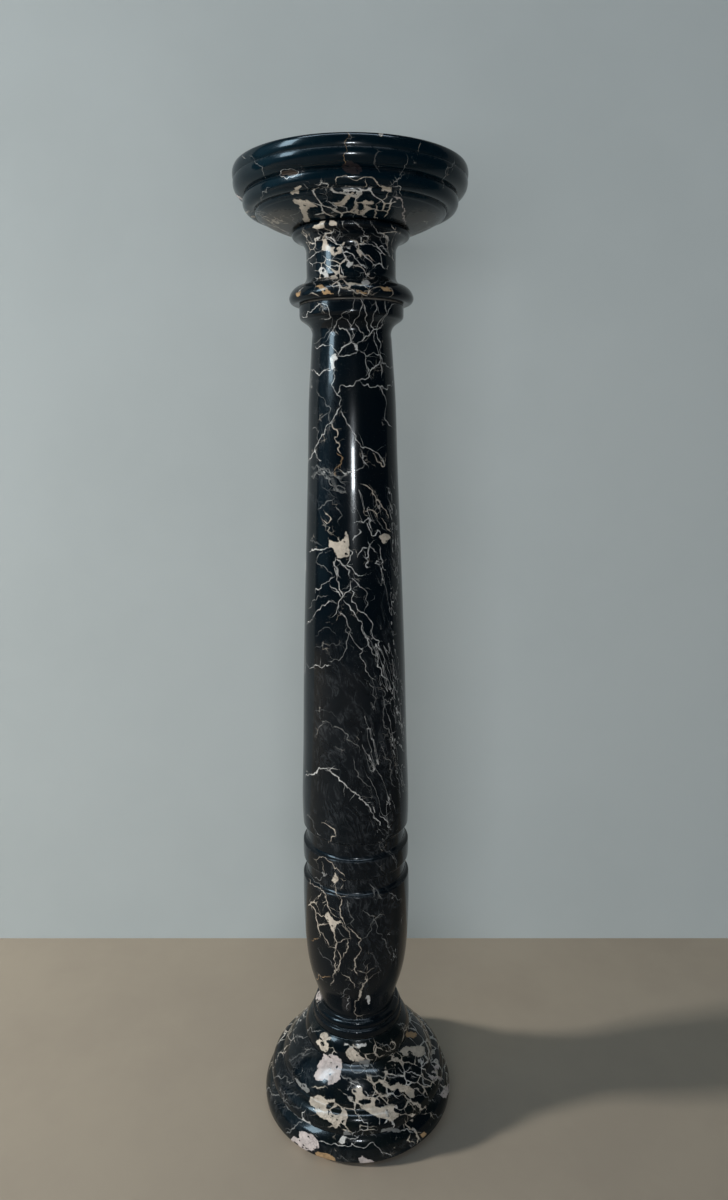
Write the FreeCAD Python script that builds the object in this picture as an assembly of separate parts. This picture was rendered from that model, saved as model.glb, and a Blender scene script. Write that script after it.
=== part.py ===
"""Turned marble pedestal table: stone base, shaft and capital, with a round top that turns on a pin.

Units are millimetres.  +Z is up and Z = 0 is the floor.  Every stone is turned about the Z axis,
so each one is drawn as a half section (radius, height) and revolved.
"""
import FreeCAD
import Part
import os

V = FreeCAD.Vector

# ---------------------------------------------------------------- driving dimensions
TOTAL_HEIGHT = 1000.0      # floor to the top of the round plate
FELT_THICKNESS = 2.0       # felt glued under the base
JOINT = 0.8                # setting bed between two stones
WASHER_THICKNESS = 1.0     # slip washer under the turning top

BASE_RADIUS = 108.6        # widest point of the base
BASE_TOP = 108.8           # top of the collar, where the shaft is set
SHAFT_TOP = 882.6          # top of the shaft's square fillet
CAPITAL_TOP = 947.6        # flat seat of the capital
TOP_RADIUS = 108.6         # widest point of the round plate

NECK_RADIUS = 42.3         # plain neck of the capital
WAIST_RADIUS = 42.8        # narrowest point above the base

DOWEL_RADIUS = 8.0         # steel dowel, base to shaft
DOWEL_LOW = 60.0
DOWEL_HIGH = 170.0
DOWEL_RESIN = 1.0          # resin all round the dowel
PIN_RADIUS = 6.0           # steel pin, shaft to capital to top
PIN_LOW = 830.0
PIN_HIGH = 977.5
PIN_RESIN = 1.0            # resin all round the pin below the seat
BUSH_WALL = 4.45           # brass bush cemented in the plate
RUNNING_CLEARANCE = 0.05   # pin to bush, on the radius
BUSH_RESIN = 0.5           # resin all round the bush
END_GAP = 1.5              # air above a dowel or pin in its blind hole

WASHER_INNER = 14.0
WASHER_OUTER = 46.0
FELT_RADIUS = 98.0

SHAFT_BOTTOM = BASE_TOP + JOINT
CAPITAL_BOTTOM = SHAFT_TOP + JOINT
PLATE_BOTTOM = CAPITAL_TOP + WASHER_THICKNESS


# ---------------------------------------------------------------- drawing helpers
class Outline:
    """A half section, drawn point by point in the X-Z plane."""

    def __init__(self, radius, height):
        self.start = V(radius, 0, height)
        self.here = self.start
        self.edges = []

    def line(self, radius, height):
        end = V(radius, 0, height)
        self.edges.append(Part.makeLine(self.here, end))
        self.here = end
        return self

    def arc(self, via, to):
        middle = V(via[0], 0, via[1])
        end = V(to[0], 0, to[1])
        self.edges.append(Part.Arc(self.here, middle, end).toShape())
        self.here = end
        return self

    def curve(self, stations):
        """A smooth curve from the present point through each (radius, height)."""
        points = [self.here] + [V(r, 0, h) for r, h in stations]
        spline = Part.BSplineCurve()
        spline.interpolate(points)
        self.edges.append(spline.toShape())
        self.here = points[-1]
        return self

    def turned(self):
        """Close the section and revolve it into one solid."""
        if self.here.distanceToPoint(self.start) > 1e-6:
            self.edges.append(Part.makeLine(self.here, self.start))
        face = Part.Face(Part.Wire(self.edges))
        solid = face.revolve(V(0, 0, 0), V(0, 0, 1), 360)
        return solid.Solids[0] if solid.Solids else Part.makeSolid(solid)


def cylinder(radius, low, high):
    return Part.makeCylinder(radius, high - low, V(0, 0, low), V(0, 0, 1))


def ring(inner, outer, low, high):
    return cylinder(outer, low, high).cut(cylinder(inner, low - 1, high + 1))


def broken_edge(rod, size):
    """Chamfer the two end rims of a plain rod."""
    rims = [e for e in rod.Edges if hasattr(e.Curve, "Radius")]
    return rod.makeChamfer(size, rims)


# ---------------------------------------------------------------- base, one stone
def make_base():
    foot = FELT_THICKNESS
    section = Outline(0, foot)
    section.line(102.6, foot)
    # lower ring: rounded under, then a half-round side up to the groove
    section.arc((107.0, 4.3), (BASE_RADIUS, 9.6))
    section.arc((106.9, 21.0), (99.7, 30.0))
    section.line(98.4, 31.0)
    section.line(98.4, 32.2)
    # quarter round above the groove
    section.line(100.5, 33.4)
    section.arc((98.5, 44.6), (88.8, 52.2))
    # small cove, then the low dome up to the collar
    section.arc((87.1, 53.6), (86.7, 56.2))
    section.line(86.3, 58.0)
    section.arc((75.8, 72.6), (61.6, 83.6))
    # collar: square foot, sloping ogee side, flat top
    section.line(60.0, 84.6)
    section.arc((60.5, 86.0), (60.6, 88.2))
    section.arc((58.2, 99.4), (52.4, 107.4))
    section.arc((51.6, 108.4), (50.6, BASE_TOP))
    section.line(0, BASE_TOP)
    hole = cylinder(DOWEL_RADIUS + DOWEL_RESIN, DOWEL_LOW - END_GAP, BASE_TOP + 1)
    return section.turned().cut(hole)


# ---------------------------------------------------------------- shaft, one stone
def make_shaft():
    section = Outline(0, SHAFT_BOTTOM)
    section.line(50.6, SHAFT_BOTTOM)
    # two small mouldings under the waist
    section.arc((51.1, 109.8), (51.2, 110.4))
    section.line(51.0, 115.0)
    section.arc((50.5, 116.8), (49.0, 117.8))
    section.line(47.7, 118.6)
    section.arc((48.5, 122.8), (46.2, 126.4))
    section.line(44.0, 127.4)
    section.arc((43.0, 128.4), (WAIST_RADIUS, 130.0))
    # bulb
    section.curve([(44.8, 141.5), (50.2, 160.0), (54.3, 178.0), (57.0, 202.0),
                   (58.4, 232.0), (58.8, 268.0), (58.3, 288.0)])
    section.line(57.6, 288.9)
    # lower hollow, plain band, upper hollow
    section.arc((55.0, 290.6), (54.2, 294.6))
    section.line(54.2, 303.4)
    section.arc((55.0, 307.2), (57.2, 309.0))
    section.line(57.6, 309.6)
    section.arc((57.9, 318.8), (57.5, 328.0))
    section.line(56.9, 328.6)
    section.arc((54.3, 330.4), (53.4, 334.4))
    section.line(53.4, 343.2)
    section.arc((54.4, 347.0), (56.6, 348.8))
    section.line(57.1, 349.5)
    # long tapered shaft
    section.curve([(57.6, 362.0), (56.2, 420.0), (53.7, 508.0), (50.6, 593.0), (47.2, 675.0),
                   (44.0, 755.0), (42.5, 797.0), (40.3, 828.0), (38.4, 853.0)])
    # cove out to the square fillet under the capital
    section.arc((39.0, 861.2), (43.4, 866.2))
    section.line(47.0, 868.6)
    section.arc((49.2, 870.6), (49.9, 873.6))
    section.line(49.9, SHAFT_TOP - 0.6)
    section.line(49.3, SHAFT_TOP)
    section.line(0, SHAFT_TOP)
    low_hole = cylinder(DOWEL_RADIUS + DOWEL_RESIN, SHAFT_BOTTOM - 1, DOWEL_HIGH + END_GAP)
    high_hole = cylinder(PIN_RADIUS + PIN_RESIN, PIN_LOW - END_GAP, SHAFT_TOP + 1)
    return section.turned().cut(low_hole).cut(high_hole)


# ---------------------------------------------------------------- capital, one stone
def make_capital():
    section = Outline(0, CAPITAL_BOTTOM)
    section.line(53.0, CAPITAL_BOTTOM)
    # heavy ring
    section.arc((57.7, 884.9), (59.3, 889.2))
    section.arc((56.4, 895.3), (49.8, 899.6))
    # hollow, neck and upper hollow
    section.arc((44.4, 902.9), (NECK_RADIUS, 908.8))
    section.line(NECK_RADIUS, 928.0)
    section.arc((44.6, 936.4), (50.8, 941.0))
    # bead under the plate
    section.line(52.8, 941.4)
    section.arc((55.4, 944.6), (53.8, CAPITAL_TOP))
    section.line(0, CAPITAL_TOP)
    hole = cylinder(PIN_RADIUS + PIN_RESIN, CAPITAL_BOTTOM - 1, CAPITAL_TOP + 1)
    return section.turned().cut(hole)


# ---------------------------------------------------------------- round top, one stone
def make_table_top():
    section = Outline(0, PLATE_BOTTOM)
    section.line(56.0, PLATE_BOTTOM)
    # bulging underside
    section.arc((73.2, 953.8), (86.0, 960.0))
    section.arc((88.6, 961.6), (89.4, 964.0))
    # lower band
    section.line(91.4, 963.6)
    section.arc((98.0, 966.0), (100.0, 971.6))
    section.arc((99.7, 974.2), (98.2, 976.2))
    # ovolo
    section.line(99.6, 976.6)
    section.arc((106.0, 980.6), (108.3, 987.4))
    section.line(108.2, 988.8)
    section.line(107.1, 989.4)
    # rim band and top face
    section.arc((TOP_RADIUS, 994.2), (107.7, 998.8))
    section.arc((107.2, 999.6), (106.2, TOTAL_HEIGHT))
    section.line(0, TOTAL_HEIGHT)
    hole = cylinder(bush_outer() + BUSH_RESIN, PLATE_BOTTOM - 1, bush_top() + BUSH_RESIN)
    return section.turned().cut(hole)


# ---------------------------------------------------------------- metal, resin and felt
def bush_outer():
    return PIN_RADIUS + RUNNING_CLEARANCE + BUSH_WALL


def bush_top():
    return PIN_HIGH + END_GAP + 3.0


def make_pivot_bush():
    """Blind brass bush, set half a millimetre inside the plate so that it never rubs the washer."""
    low = PLATE_BOTTOM + 0.5
    body = broken_edge(cylinder(bush_outer(), low, bush_top()), 0.4)
    bore = cylinder(PIN_RADIUS + RUNNING_CLEARANCE, low - 1, PIN_HIGH + END_GAP)
    return body.cut(bore)


def make_bush_resin():
    low = PLATE_BOTTOM + 0.5
    outside = cylinder(bush_outer() + BUSH_RESIN, low, bush_top() + BUSH_RESIN)
    inside = cylinder(bush_outer(), low - 1, bush_top())
    return outside.cut(inside)


def make_pivot_pin():
    return broken_edge(cylinder(PIN_RADIUS, PIN_LOW, PIN_HIGH), 0.8)


def make_pin_resin():
    outside = cylinder(PIN_RADIUS + PIN_RESIN, PIN_LOW - END_GAP, CAPITAL_TOP - 0.6)
    return outside.cut(cylinder(PIN_RADIUS, PIN_LOW, CAPITAL_TOP + 1))


def make_base_dowel():
    return broken_edge(cylinder(DOWEL_RADIUS, DOWEL_LOW, DOWEL_HIGH), 1.0)


def make_base_dowel_resin():
    outside = cylinder(DOWEL_RADIUS + DOWEL_RESIN, DOWEL_LOW - END_GAP, DOWEL_HIGH - 2.0)
    return outside.cut(cylinder(DOWEL_RADIUS, DOWEL_LOW, DOWEL_HIGH + 1))


def make_base_bed():
    return ring(DOWEL_RADIUS + DOWEL_RESIN, 50.0, BASE_TOP, SHAFT_BOTTOM)


def make_capital_bed():
    return ring(PIN_RADIUS + PIN_RESIN, 48.8, SHAFT_TOP, CAPITAL_BOTTOM)


def make_thrust_washer():
    return ring(WASHER_INNER, WASHER_OUTER, CAPITAL_TOP, PLATE_BOTTOM)


def make_floor_felt():
    return cylinder(FELT_RADIUS, 0, FELT_THICKNESS)


PIECES = {
    "floor_felt": make_floor_felt,
    "base": make_base,
    "base_bed": make_base_bed,
    "base_dowel": make_base_dowel,
    "base_dowel_resin": make_base_dowel_resin,
    "shaft": make_shaft,
    "capital_bed": make_capital_bed,
    "capital": make_capital,
    "pivot_pin": make_pivot_pin,
    "pin_resin": make_pin_resin,
    "thrust_washer": make_thrust_washer,
    "pivot_bush": make_pivot_bush,
    "bush_resin": make_bush_resin,
    "table_top": make_table_top,
}

os.makedirs("parts", exist_ok=True)
for node, make in PIECES.items():
    shape = make()
    if not shape.isValid() or len(shape.Solids) != 1:
        raise ValueError(node + " is not one valid solid")
    shape.Solids[0].exportStep("parts/" + node + ".step")
    print(node, "%.1f cm3" % (shape.Volume / 1000.0))
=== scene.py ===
import math

import bpy
import numpy as np
from mathutils import Matrix, Vector


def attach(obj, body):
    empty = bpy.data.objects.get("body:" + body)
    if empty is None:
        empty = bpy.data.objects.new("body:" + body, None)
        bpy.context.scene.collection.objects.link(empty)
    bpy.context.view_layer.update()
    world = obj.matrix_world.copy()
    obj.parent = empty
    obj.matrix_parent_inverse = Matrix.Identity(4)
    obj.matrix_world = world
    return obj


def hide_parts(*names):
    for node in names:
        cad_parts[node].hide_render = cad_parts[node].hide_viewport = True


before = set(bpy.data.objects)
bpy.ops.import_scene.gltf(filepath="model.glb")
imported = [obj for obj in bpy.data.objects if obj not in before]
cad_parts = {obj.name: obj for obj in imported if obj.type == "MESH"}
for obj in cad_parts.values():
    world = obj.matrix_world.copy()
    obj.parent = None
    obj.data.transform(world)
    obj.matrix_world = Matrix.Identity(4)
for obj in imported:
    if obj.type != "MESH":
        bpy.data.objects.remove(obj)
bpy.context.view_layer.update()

# The looks of a turned marble pedestal table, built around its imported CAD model.
# The four stones are spun again from the CAD's own half sections, fine enough to
# carry the veins. Lengths on a stone's surface are millimetres here: a place is
# (azimuth, down), with azimuth in degrees from the front (-Y) towards +X, and
# down in millimetres along the surface from the stone's upper arris.

MM = 0.001


# ---------------------------------------------------------------- half sections

CORNER_TURN = 9.5      # degrees between chords: above this the section has a corner
ARRIS = 0.45           # mm, how far a polished corner's rounding reaches
STRAIGHT = 2.5         # a chord this much longer than its neighbour is a straight run
BORE_LIMIT = 20.0      # mm: everything at a smaller radius is a bore
FACE_EDGE = 6.0        # mm of each bedding face that belongs to the smooth outside


def section_chain(node):
    """The CAD node's half section, from its seam: points (radius, height) in mm."""
    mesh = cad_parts[node].data
    place = {}
    for vertex in mesh.vertices:
        x, y, z = vertex.co
        if abs(y) < 1e-7 and x > -1e-9:
            place[vertex.index] = (round(x * 1e6) / 1e3, round(z * 1e6) / 1e3)
    joined = {}
    for edge in mesh.edges:
        a, b = (place.get(i) for i in edge.vertices)
        if a is not None and b is not None and a != b:
            joined.setdefault(a, set()).add(b)
            joined.setdefault(b, set()).add(a)
    ends = [p for p in joined if len(joined[p]) == 1]
    start = min(ends or joined, key=lambda p: (p[1], p[0]))
    chain, seen = [start], {start}
    while True:
        further = [p for p in joined[chain[-1]] if p not in seen]
        if not further:
            break
        here = chain[-1]
        chain.append(min(further, key=lambda p: math.hypot(p[0] - here[0], p[1] - here[1])))
        seen.add(chain[-1])
    return np.array(chain), not ends


def arrises(chain, closed):
    """The outer ends of the two bedding faces: (lower, upper), each (radius, height)."""
    found = [] if closed else [tuple(p) for p in (chain[0], chain[-1]) if p[0] > BORE_LIMIT]
    following = np.roll(chain, -1, axis=0) if closed else chain[1:]
    for p, q in zip(chain, following):
        if abs(p[1] - q[1]) < 0.01 and abs(p[0] - q[0]) > BORE_LIMIT:
            found.append(tuple(max(p, q, key=lambda point: point[0])))
    found.sort(key=lambda point: point[1])
    return found[0], found[-1]


def outer_run(chain, closed, low, high):
    """The exposed part of the half section, from the upper arris down to the lower one."""
    start = int(np.argmin(np.hypot(*(chain - high).T)))
    stop = int(np.argmin(np.hypot(*(chain - low).T)))
    if not closed:
        return chain[start : stop + 1] if start < stop else chain[stop : start + 1][::-1]
    count = (stop - start) % len(chain)
    forward = np.roll(chain, -start, axis=0)[: count + 1]
    backward = np.roll(chain[::-1], start + 1, axis=0)[: len(chain) - count + 1]
    return forward if forward[:, 0].min() > BORE_LIMIT else backward


def run_slopes(lengths, dirs):
    """The curve's direction at each point of a run, from its chords."""
    slope = [dirs[0]]
    for i in range(1, len(dirs)):
        a, b = lengths[i - 1], lengths[i]
        if a > STRAIGHT * b:
            mean = dirs[i - 1]
        elif b > STRAIGHT * a:
            mean = dirs[i]
        else:
            mean = dirs[i - 1] * b + dirs[i] * a
        slope.append(mean / np.hypot(*mean))
    slope.append(dirs[-1])
    if len(dirs) > 1:
        if lengths[0] < STRAIGHT * lengths[1]:
            slope[0] = 2 * dirs[0] * np.dot(dirs[0], slope[1]) - slope[1]
        if lengths[-1] < STRAIGHT * lengths[-2]:
            slope[-1] = 2 * dirs[-1] * np.dot(dirs[-1], slope[-2]) - slope[-2]
    return slope


def curve_at(run, slope, knots, lengths, s):
    """Place and direction at distance s along a run."""
    i = min(int(np.searchsorted(knots, s, side="right")) - 1, len(lengths) - 1)
    h = lengths[i]
    t = (s - knots[i]) / h
    p0, p1, m0, m1 = run[i], run[i + 1], slope[i] * h, slope[i + 1] * h
    place = (
        (2 * t**3 - 3 * t**2 + 1) * p0
        + (t**3 - 2 * t**2 + t) * m0
        + (3 * t**2 - 2 * t**3) * p1
        + (t**3 - t**2) * m1
    )
    along = (
        (6 * t**2 - 6 * t) * (p0 - p1)
        + (3 * t**2 - 4 * t + 1) * m0
        + (3 * t**2 - 2 * t) * m1
    )
    return place, along / np.hypot(*along)


def smooth_run(points, spacing):
    """The run at even spacing, with directions: a curve through its points, corners rounded."""
    step = np.diff(points, axis=0)
    length = np.hypot(*step.T)
    heading = step / length[:, None]
    angle = np.degrees(np.arctan2(heading[:, 1], heading[:, 0]))
    turn = (np.diff(angle) + 180) % 360 - 180
    turns = [i + 1 for i, t in enumerate(turn) if abs(t) > CORNER_TURN]
    corners = [0] + turns + [len(points) - 1]
    places, slopes = [], []
    for first, last in zip(corners, corners[1:]):
        run, lengths = points[first : last + 1], length[first:last]
        slope = run_slopes(lengths, heading[first:last])
        knots = np.concatenate(([0], np.cumsum(lengths)))
        trim = min(ARRIS, 0.3 * knots[-1])
        start = trim if first else 0
        stop = knots[-1] - (trim if last != len(points) - 1 else 0)
        count = max(2, round((stop - start) / spacing) + 1)
        if first:
            before, corner = places[-1], points[first]
            after = curve_at(run, slope, knots, lengths, start)[0]
            for t in (0.25, 0.5, 0.75):
                mean = (1 - t) * (corner - before) + t * (after - corner)
                places.append((1 - t) ** 2 * before + 2 * t * (1 - t) * corner + t**2 * after)
                slopes.append(mean / np.hypot(*mean))
        for s in np.linspace(start, stop, count):
            place, direction = curve_at(run, slope, knots, lengths, s)
            places.append(place)
            slopes.append(direction)
    return np.array(places), np.array(slopes)


class Stone:
    """One turned stone: its dense closed mesh, and each vertex's place on the surface."""

    def __init__(self, node, columns, spacing, face_step=0.0):
        chain, closed = section_chain(node)
        low, high = arrises(chain, closed)
        run = outer_run(chain, closed, low, high)
        shown = {tuple(p) for p in run}
        inside = [tuple(p) for p in chain if tuple(p) not in shown]
        upper_face, lower_face = (high[0] - FACE_EDGE, high[1]), (low[0] - FACE_EDGE, low[1])
        places, slopes = smooth_run(np.concatenate(([upper_face], run, [lower_face])), spacing)
        down = np.concatenate(([0], np.cumsum(np.hypot(*np.diff(places, axis=0).T)))) - FACE_EDGE
        normals = np.stack((-slopes[:, 1], slopes[:, 0]), axis=1)
        rows = [(r, z, n, d) for (r, z), n, d in zip(places, normals, down)]
        if face_step:
            count = int(rows[0][0] / face_step)
            radii = np.linspace(0, rows[0][0], count + 1)[1:-1]
            up = np.array((0.0, 1.0))
            rows = [(r, high[1], up, r - high[0]) for r in radii] + rows
        self.node, self.columns = node, columns
        self.row_down = np.array([row[3] for row in rows])
        self.row_radius = np.array([row[0] for row in rows])
        self.row_normal = np.array([row[2] for row in rows])
        head = self.bore(inside, high[1], low[1])[::-1]
        tail = self.bore(inside, low[1], high[1])
        through = len(head) == 1 and len(tail) == 1 and head[0][0] > 0 and tail[0][0] > 0
        self.build(head + rows + tail, through)

    @staticmethod
    def bore(inside, face, opposite):
        """The rings that close a bedding face: to the axis, or down a blind or through bore."""
        radii = [p[0] for p in inside if abs(p[1] - face) < 0.01]
        if not radii:
            return [(0.0, face, None, 0.0)]
        radius = min(radii)
        rings = [(radius, face, None, 0.0)]
        floors = [p[1] for p in inside if abs(p[0] - radius) < 0.01 and abs(p[1] - face) > 0.01]
        if floors and abs(floors[0] - opposite) > 0.01:
            rings += [(radius, floors[0], None, 0.0), (0.0, floors[0], None, 0.0)]
        return rings

    def build(self, loop, through):
        """The mesh: smooth normals on the outside, flat faces in the bores."""
        turns = np.arange(self.columns) * math.tau / self.columns
        sin, cos = np.sin(turns), np.cos(turns)
        starts, verts, azimuth, down, radius, normal, outer = [], [], [], [], [], [], []
        for r, z, n, d in loop:
            starts.append(len(verts))
            for c in range(self.columns if r > 0 else 1):
                verts.append((r * sin[c] * MM, -r * cos[c] * MM, z * MM))
                azimuth.append((math.degrees(turns[c]) + 180) % 360 - 180)
                down.append(d)
                radius.append(r)
                outer.append(n is not None)
                normal.append((0, 0, 1) if n is None else (n[0] * sin[c], -n[0] * cos[c], n[1]))
        pairs = list(zip(range(len(loop)), range(1, len(loop))))
        if through:
            pairs.append((len(loop) - 1, 0))
        faces = []
        for i, j in pairs:
            a, b = starts[i], starts[j]
            for c in range(self.columns):
                d = (c + 1) % self.columns
                if loop[i][0] == 0:
                    faces.append((a, b + c, b + d))
                elif loop[j][0] == 0:
                    faces.append((a + c, b, a + d))
                else:
                    faces.append((a + c, b + c, b + d, a + d))
        mesh = bpy.data.meshes.new(self.node + "_stone")
        mesh.from_pydata(verts, [], faces)
        mesh.update()
        mesh.shade_smooth()
        corner_normals = np.zeros((len(mesh.loops), 3))
        for face in mesh.polygons:
            whole = all(outer[v] for v in face.vertices)
            for corner, v in zip(face.loop_indices, face.vertices):
                corner_normals[corner] = normal[v] if whole else face.normal
        mesh.normals_split_custom_set([tuple(n) for n in corner_normals])
        self.object = bpy.data.objects.new(self.node + "_stone", mesh)
        bpy.context.scene.collection.objects.link(self.object)
        self.azimuth, self.down = np.array(azimuth), np.array(down)
        self.radius, self.outer = np.array(radius), np.array(outer)

    def radius_at(self, down):
        """The stone's radius in mm at that place."""
        return float(np.interp(down, self.row_down, self.row_radius))


# -------------------------------------------------------- veins on the surface

TONES = {
    "w": (0.62, 0.62, 0.60),
    "c": (0.56, 0.50, 0.42),
    "p": (0.56, 0.50, 0.48),
    "t": (0.42, 0.28, 0.15),
    "g": (0.22, 0.225, 0.22),
    "f": (0.085, 0.09, 0.092),
    "b": (0.075, 0.058, 0.047),
    # s: a painted reflection, the faint reddish dark that the plate's ovolo shows at its front
    "s": (0.024, 0.020, 0.022),
}
CHANNELS = 12
APART = 7.0            # mm wanted between two veins that share a channel
FAR = 14.0             # mm, the reach of a vein's own field
STRAIGHT_FIELD = 2.6   # mm, within which the field is plain distance over half width
FIELD_LIMIT = 500.0    # what a field holds where no vein is near
PATCH_REACH = 12.0     # mm, the farthest distance a patch's edge is measured to
NOWHERE = 99.0         # mm: no vein has been met yet
CLOSE_BY = 10.0        # mm from a vein in which hairlines gather


class Marking:
    """Veins and patches, painted into vertex attributes as signed distances."""

    def __init__(self, stone, seed, fine=1.0):
        self.stone, self.rng, self.fine = stone, np.random.default_rng(seed), fine
        self.known = np.where(stone.outer)[0]
        self.az, self.dn = stone.azimuth[self.known], stone.down[self.known]
        self.mm_per_deg = np.maximum(stone.radius[self.known], 1.0) * math.pi / 180
        size = len(self.known)
        self.best = np.full((CHANNELS, size), NOWHERE)
        self.edge = np.zeros((CHANNELS, size))
        self.field = np.full((CHANNELS, size), FIELD_LIMIT)
        self.tone_best = np.full(size, NOWHERE)
        self.tone = np.tile(np.array(TONES["c"]), (size, 1))
        self.patch = np.full(size, -PATCH_REACH)
        self.patch_tone = np.tile(np.array(TONES["c"]), (size, 1))
        self.paths = [[] for _ in range(CHANNELS)]

    def flat(self, point):
        """The place in mm both ways, unrolled at its own radius."""
        return np.array((point[0] * self.stone.radius_at(point[1]) * math.pi / 180, point[1]))

    def crooked(self, path, bend, step=2.6):
        """The path with its runs broken up by seeded sideways steps."""
        points = [np.array(p, float) for p in path]
        split = True
        while split:
            split, out = False, [points[0]]
            for a, b in zip(points, points[1:]):
                k = self.stone.radius_at((a[1] + b[1]) / 2) * math.pi / 180
                run = np.array(((b[0] - a[0]) * k, b[1] - a[1]))
                length = np.hypot(*run)
                if length > step:
                    side = np.clip(self.rng.normal(0, bend), -2 * bend, 2 * bend)
                    middle = (a + b) / 2 + np.array((-run[1] * side / k, run[0] * side))
                    out += [middle, b]
                    split = True
                else:
                    out.append(b)
            points = out
        return points

    def near(self, a, b, reach):
        """The vertices within reach of the box that two places span."""
        lo, hi = min(a[1], b[1]) - reach, max(a[1], b[1]) + reach
        index = np.where((self.dn > lo) & (self.dn < hi))[0]
        k = self.mm_per_deg[index]
        middle, half = (a[0] + b[0]) / 2, abs(a[0] - b[0]) / 2
        away = np.abs((self.az[index] - middle + 180) % 360 - 180)
        return index[away * k < half * k + reach]

    def segment(self, index, a, b):
        """For those vertices: distance, signed offset and share along ab, then a and b from each."""
        k = self.mm_per_deg[index]
        ax = ((a[0] - self.az[index] + 180) % 360 - 180) * k
        bx = ax + (b[0] - a[0]) * k
        ay, by = a[1] - self.dn[index], b[1] - self.dn[index]
        dx, dy = bx - ax, by - ay
        square = np.maximum(dx * dx + dy * dy, 1e-9)
        t = np.clip(-(ax * dx + ay * dy) / square, 0, 1)
        distance = np.hypot(ax + dx * t, ay + dy * t)
        offset = (ax * dy - ay * dx) / np.sqrt(square)
        return distance, offset, t, ax, ay, bx, by

    def vein(self, tone, half_width, path, bend=0.17, closed=False, twigs=0.0):
        """A vein along a path; twigs is how many side branches it has per centimetre."""
        points = [(path[i], path[i + 1]) for i in range(0, len(path), 2)]
        if closed:
            points.append(points[0])
        points = self.crooked(points, bend)
        half_width *= self.fine
        self.stroke(tone, half_width, points, closed)
        for i in range(1, len(points) - 1):
            k = self.stone.radius_at(points[i][1]) * math.pi / 180
            run = np.array(((points[i + 1][0] - points[i][0]) * k, points[i + 1][1] - points[i][1]))
            length = np.hypot(*run)
            if self.rng.uniform() > twigs * length / 10:
                continue
            heading = math.atan2(run[1], run[0]) + self.rng.choice((-1, 1)) * self.rng.uniform(0.3, 0.9)
            twig = [np.array(points[i], float)]
            for _ in range(self.rng.integers(2, 6)):
                step = self.rng.uniform(1.5, 4.0)
                twig.append(twig[-1] + np.array((math.cos(heading) * step / k, math.sin(heading) * step)))
                heading += self.rng.normal(0, 0.55)
            self.stroke(tone, half_width * self.rng.uniform(0.3, 0.6), twig)

    def stroke(self, tone, half_width, points, closed=False):
        """One line, in the first channel that has room for it, or in the roomiest."""
        flat = np.array([self.flat(p) for p in points])
        channel, room = 0, -1.0
        for c in range(CHANNELS):
            gap = min((np.hypot(*(flat[:, None] - other[None]).transpose(2, 0, 1)).min()
                       for other in self.paths[c]), default=NOWHERE)
            if gap > room + 1e-9:
                channel, room = c, gap
            if gap > APART:
                break
        self.paths[channel].append(flat)
        total = len(points) - 1
        wobble = self.rng.uniform(0.5, 1.5, total + 1)
        for i in range(total + 1):
            ends = 1.0 if closed else min(1.0, 0.25 + 0.35 * min(i, total - i))
            wobble[i] *= half_width * ends
        best, edge, field = self.best[channel], self.edge[channel], self.field[channel]
        color = np.array(TONES[tone])
        for i in range(total):
            a, b = points[i], points[i + 1]
            index = self.near(a, b, FAR)
            if not len(index):
                continue
            distance, offset, t, *_ = self.segment(index, a, b)
            width = wobble[i] + (wobble[i + 1] - wobble[i]) * t
            closer = distance < best[index] - 1e-4
            tied = (np.abs(distance - best[index]) <= 1e-4) & (np.abs(offset) > edge[index])
            take = closer | tied
            chosen = index[take]
            best[chosen] = distance[take]
            edge[chosen] = np.abs(offset[take])
            grow = np.exp(np.clip(distance[take] - STRAIGHT_FIELD, 0, 3) * 3)
            value = np.sign(offset[take] + 1e-12) * distance[take] / width[take] * grow
            field[chosen] = np.clip(value, -FIELD_LIMIT, FIELD_LIMIT)
            nearer = distance < self.tone_best[index]
            self.tone_best[index[nearer]] = distance[nearer]
            self.tone[index[nearer]] = color

    def blot(self, tone, path, bend=0.10, hole=False):
        """A patch of light stone, or with hole a dark eye inside one."""
        points = [(path[i], path[i + 1]) for i in range(0, len(path), 2)]
        points = self.crooked(points + [points[0]], bend, 3.0)
        azimuths, downs = zip(*points)
        index = self.near((min(azimuths), min(downs)), (max(azimuths), max(downs)), 10)
        nearest = np.full(len(index), PATCH_REACH)
        inside = np.zeros(len(index), bool)
        for a, b in zip(points, points[1:]):
            distance, _, _, ax, ay, bx, by = self.segment(index, a, b)
            nearest = np.minimum(nearest, distance)
            crosses = (ay > 0) != (by > 0)
            where = ax + (bx - ax) * (-ay) / np.where(by == ay, 1e-9, by - ay)
            inside ^= crosses & (where > 0)
        signed = np.where(inside, nearest, -nearest)
        if hole:
            self.patch[index] = np.minimum(self.patch[index], -signed)
        else:
            stronger = signed > self.patch[index]
            self.patch[index] = np.maximum(self.patch[index], signed)
            self.patch_tone[index[stronger]] = np.array(TONES[tone])

    def oval(self, az, down, half_az, half_down, uneven=0.0):
        """A path round an oval; its points move in and out by up to the uneven share."""
        path = []
        for i in range(10):
            turn = i * math.tau / 10
            reach = self.rng.uniform(1 - uneven, 1 + uneven) if uneven else 1.0
            path += [az + reach * half_az * math.cos(turn), down + reach * half_down * math.sin(turn)]
        return path

    def soft(self, spots):
        """A smooth mask from spots of (azimuth, down, half azimuth, half down, strength)."""
        mask = np.zeros(len(self.known))
        for az, down, half_az, half_down, strength in spots:
            a = ((self.az - az + 180) % 360 - 180) / half_az
            d = (self.dn - down) / half_down
            level = np.clip(1.6 - 1.2 * np.hypot(a, d), 0, 1)
            level = level * level * (3 - 2 * level) * abs(strength)
            mask = mask + level if strength > 0 else mask * (1 - level)
        return np.clip(mask, 0, 1)

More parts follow.
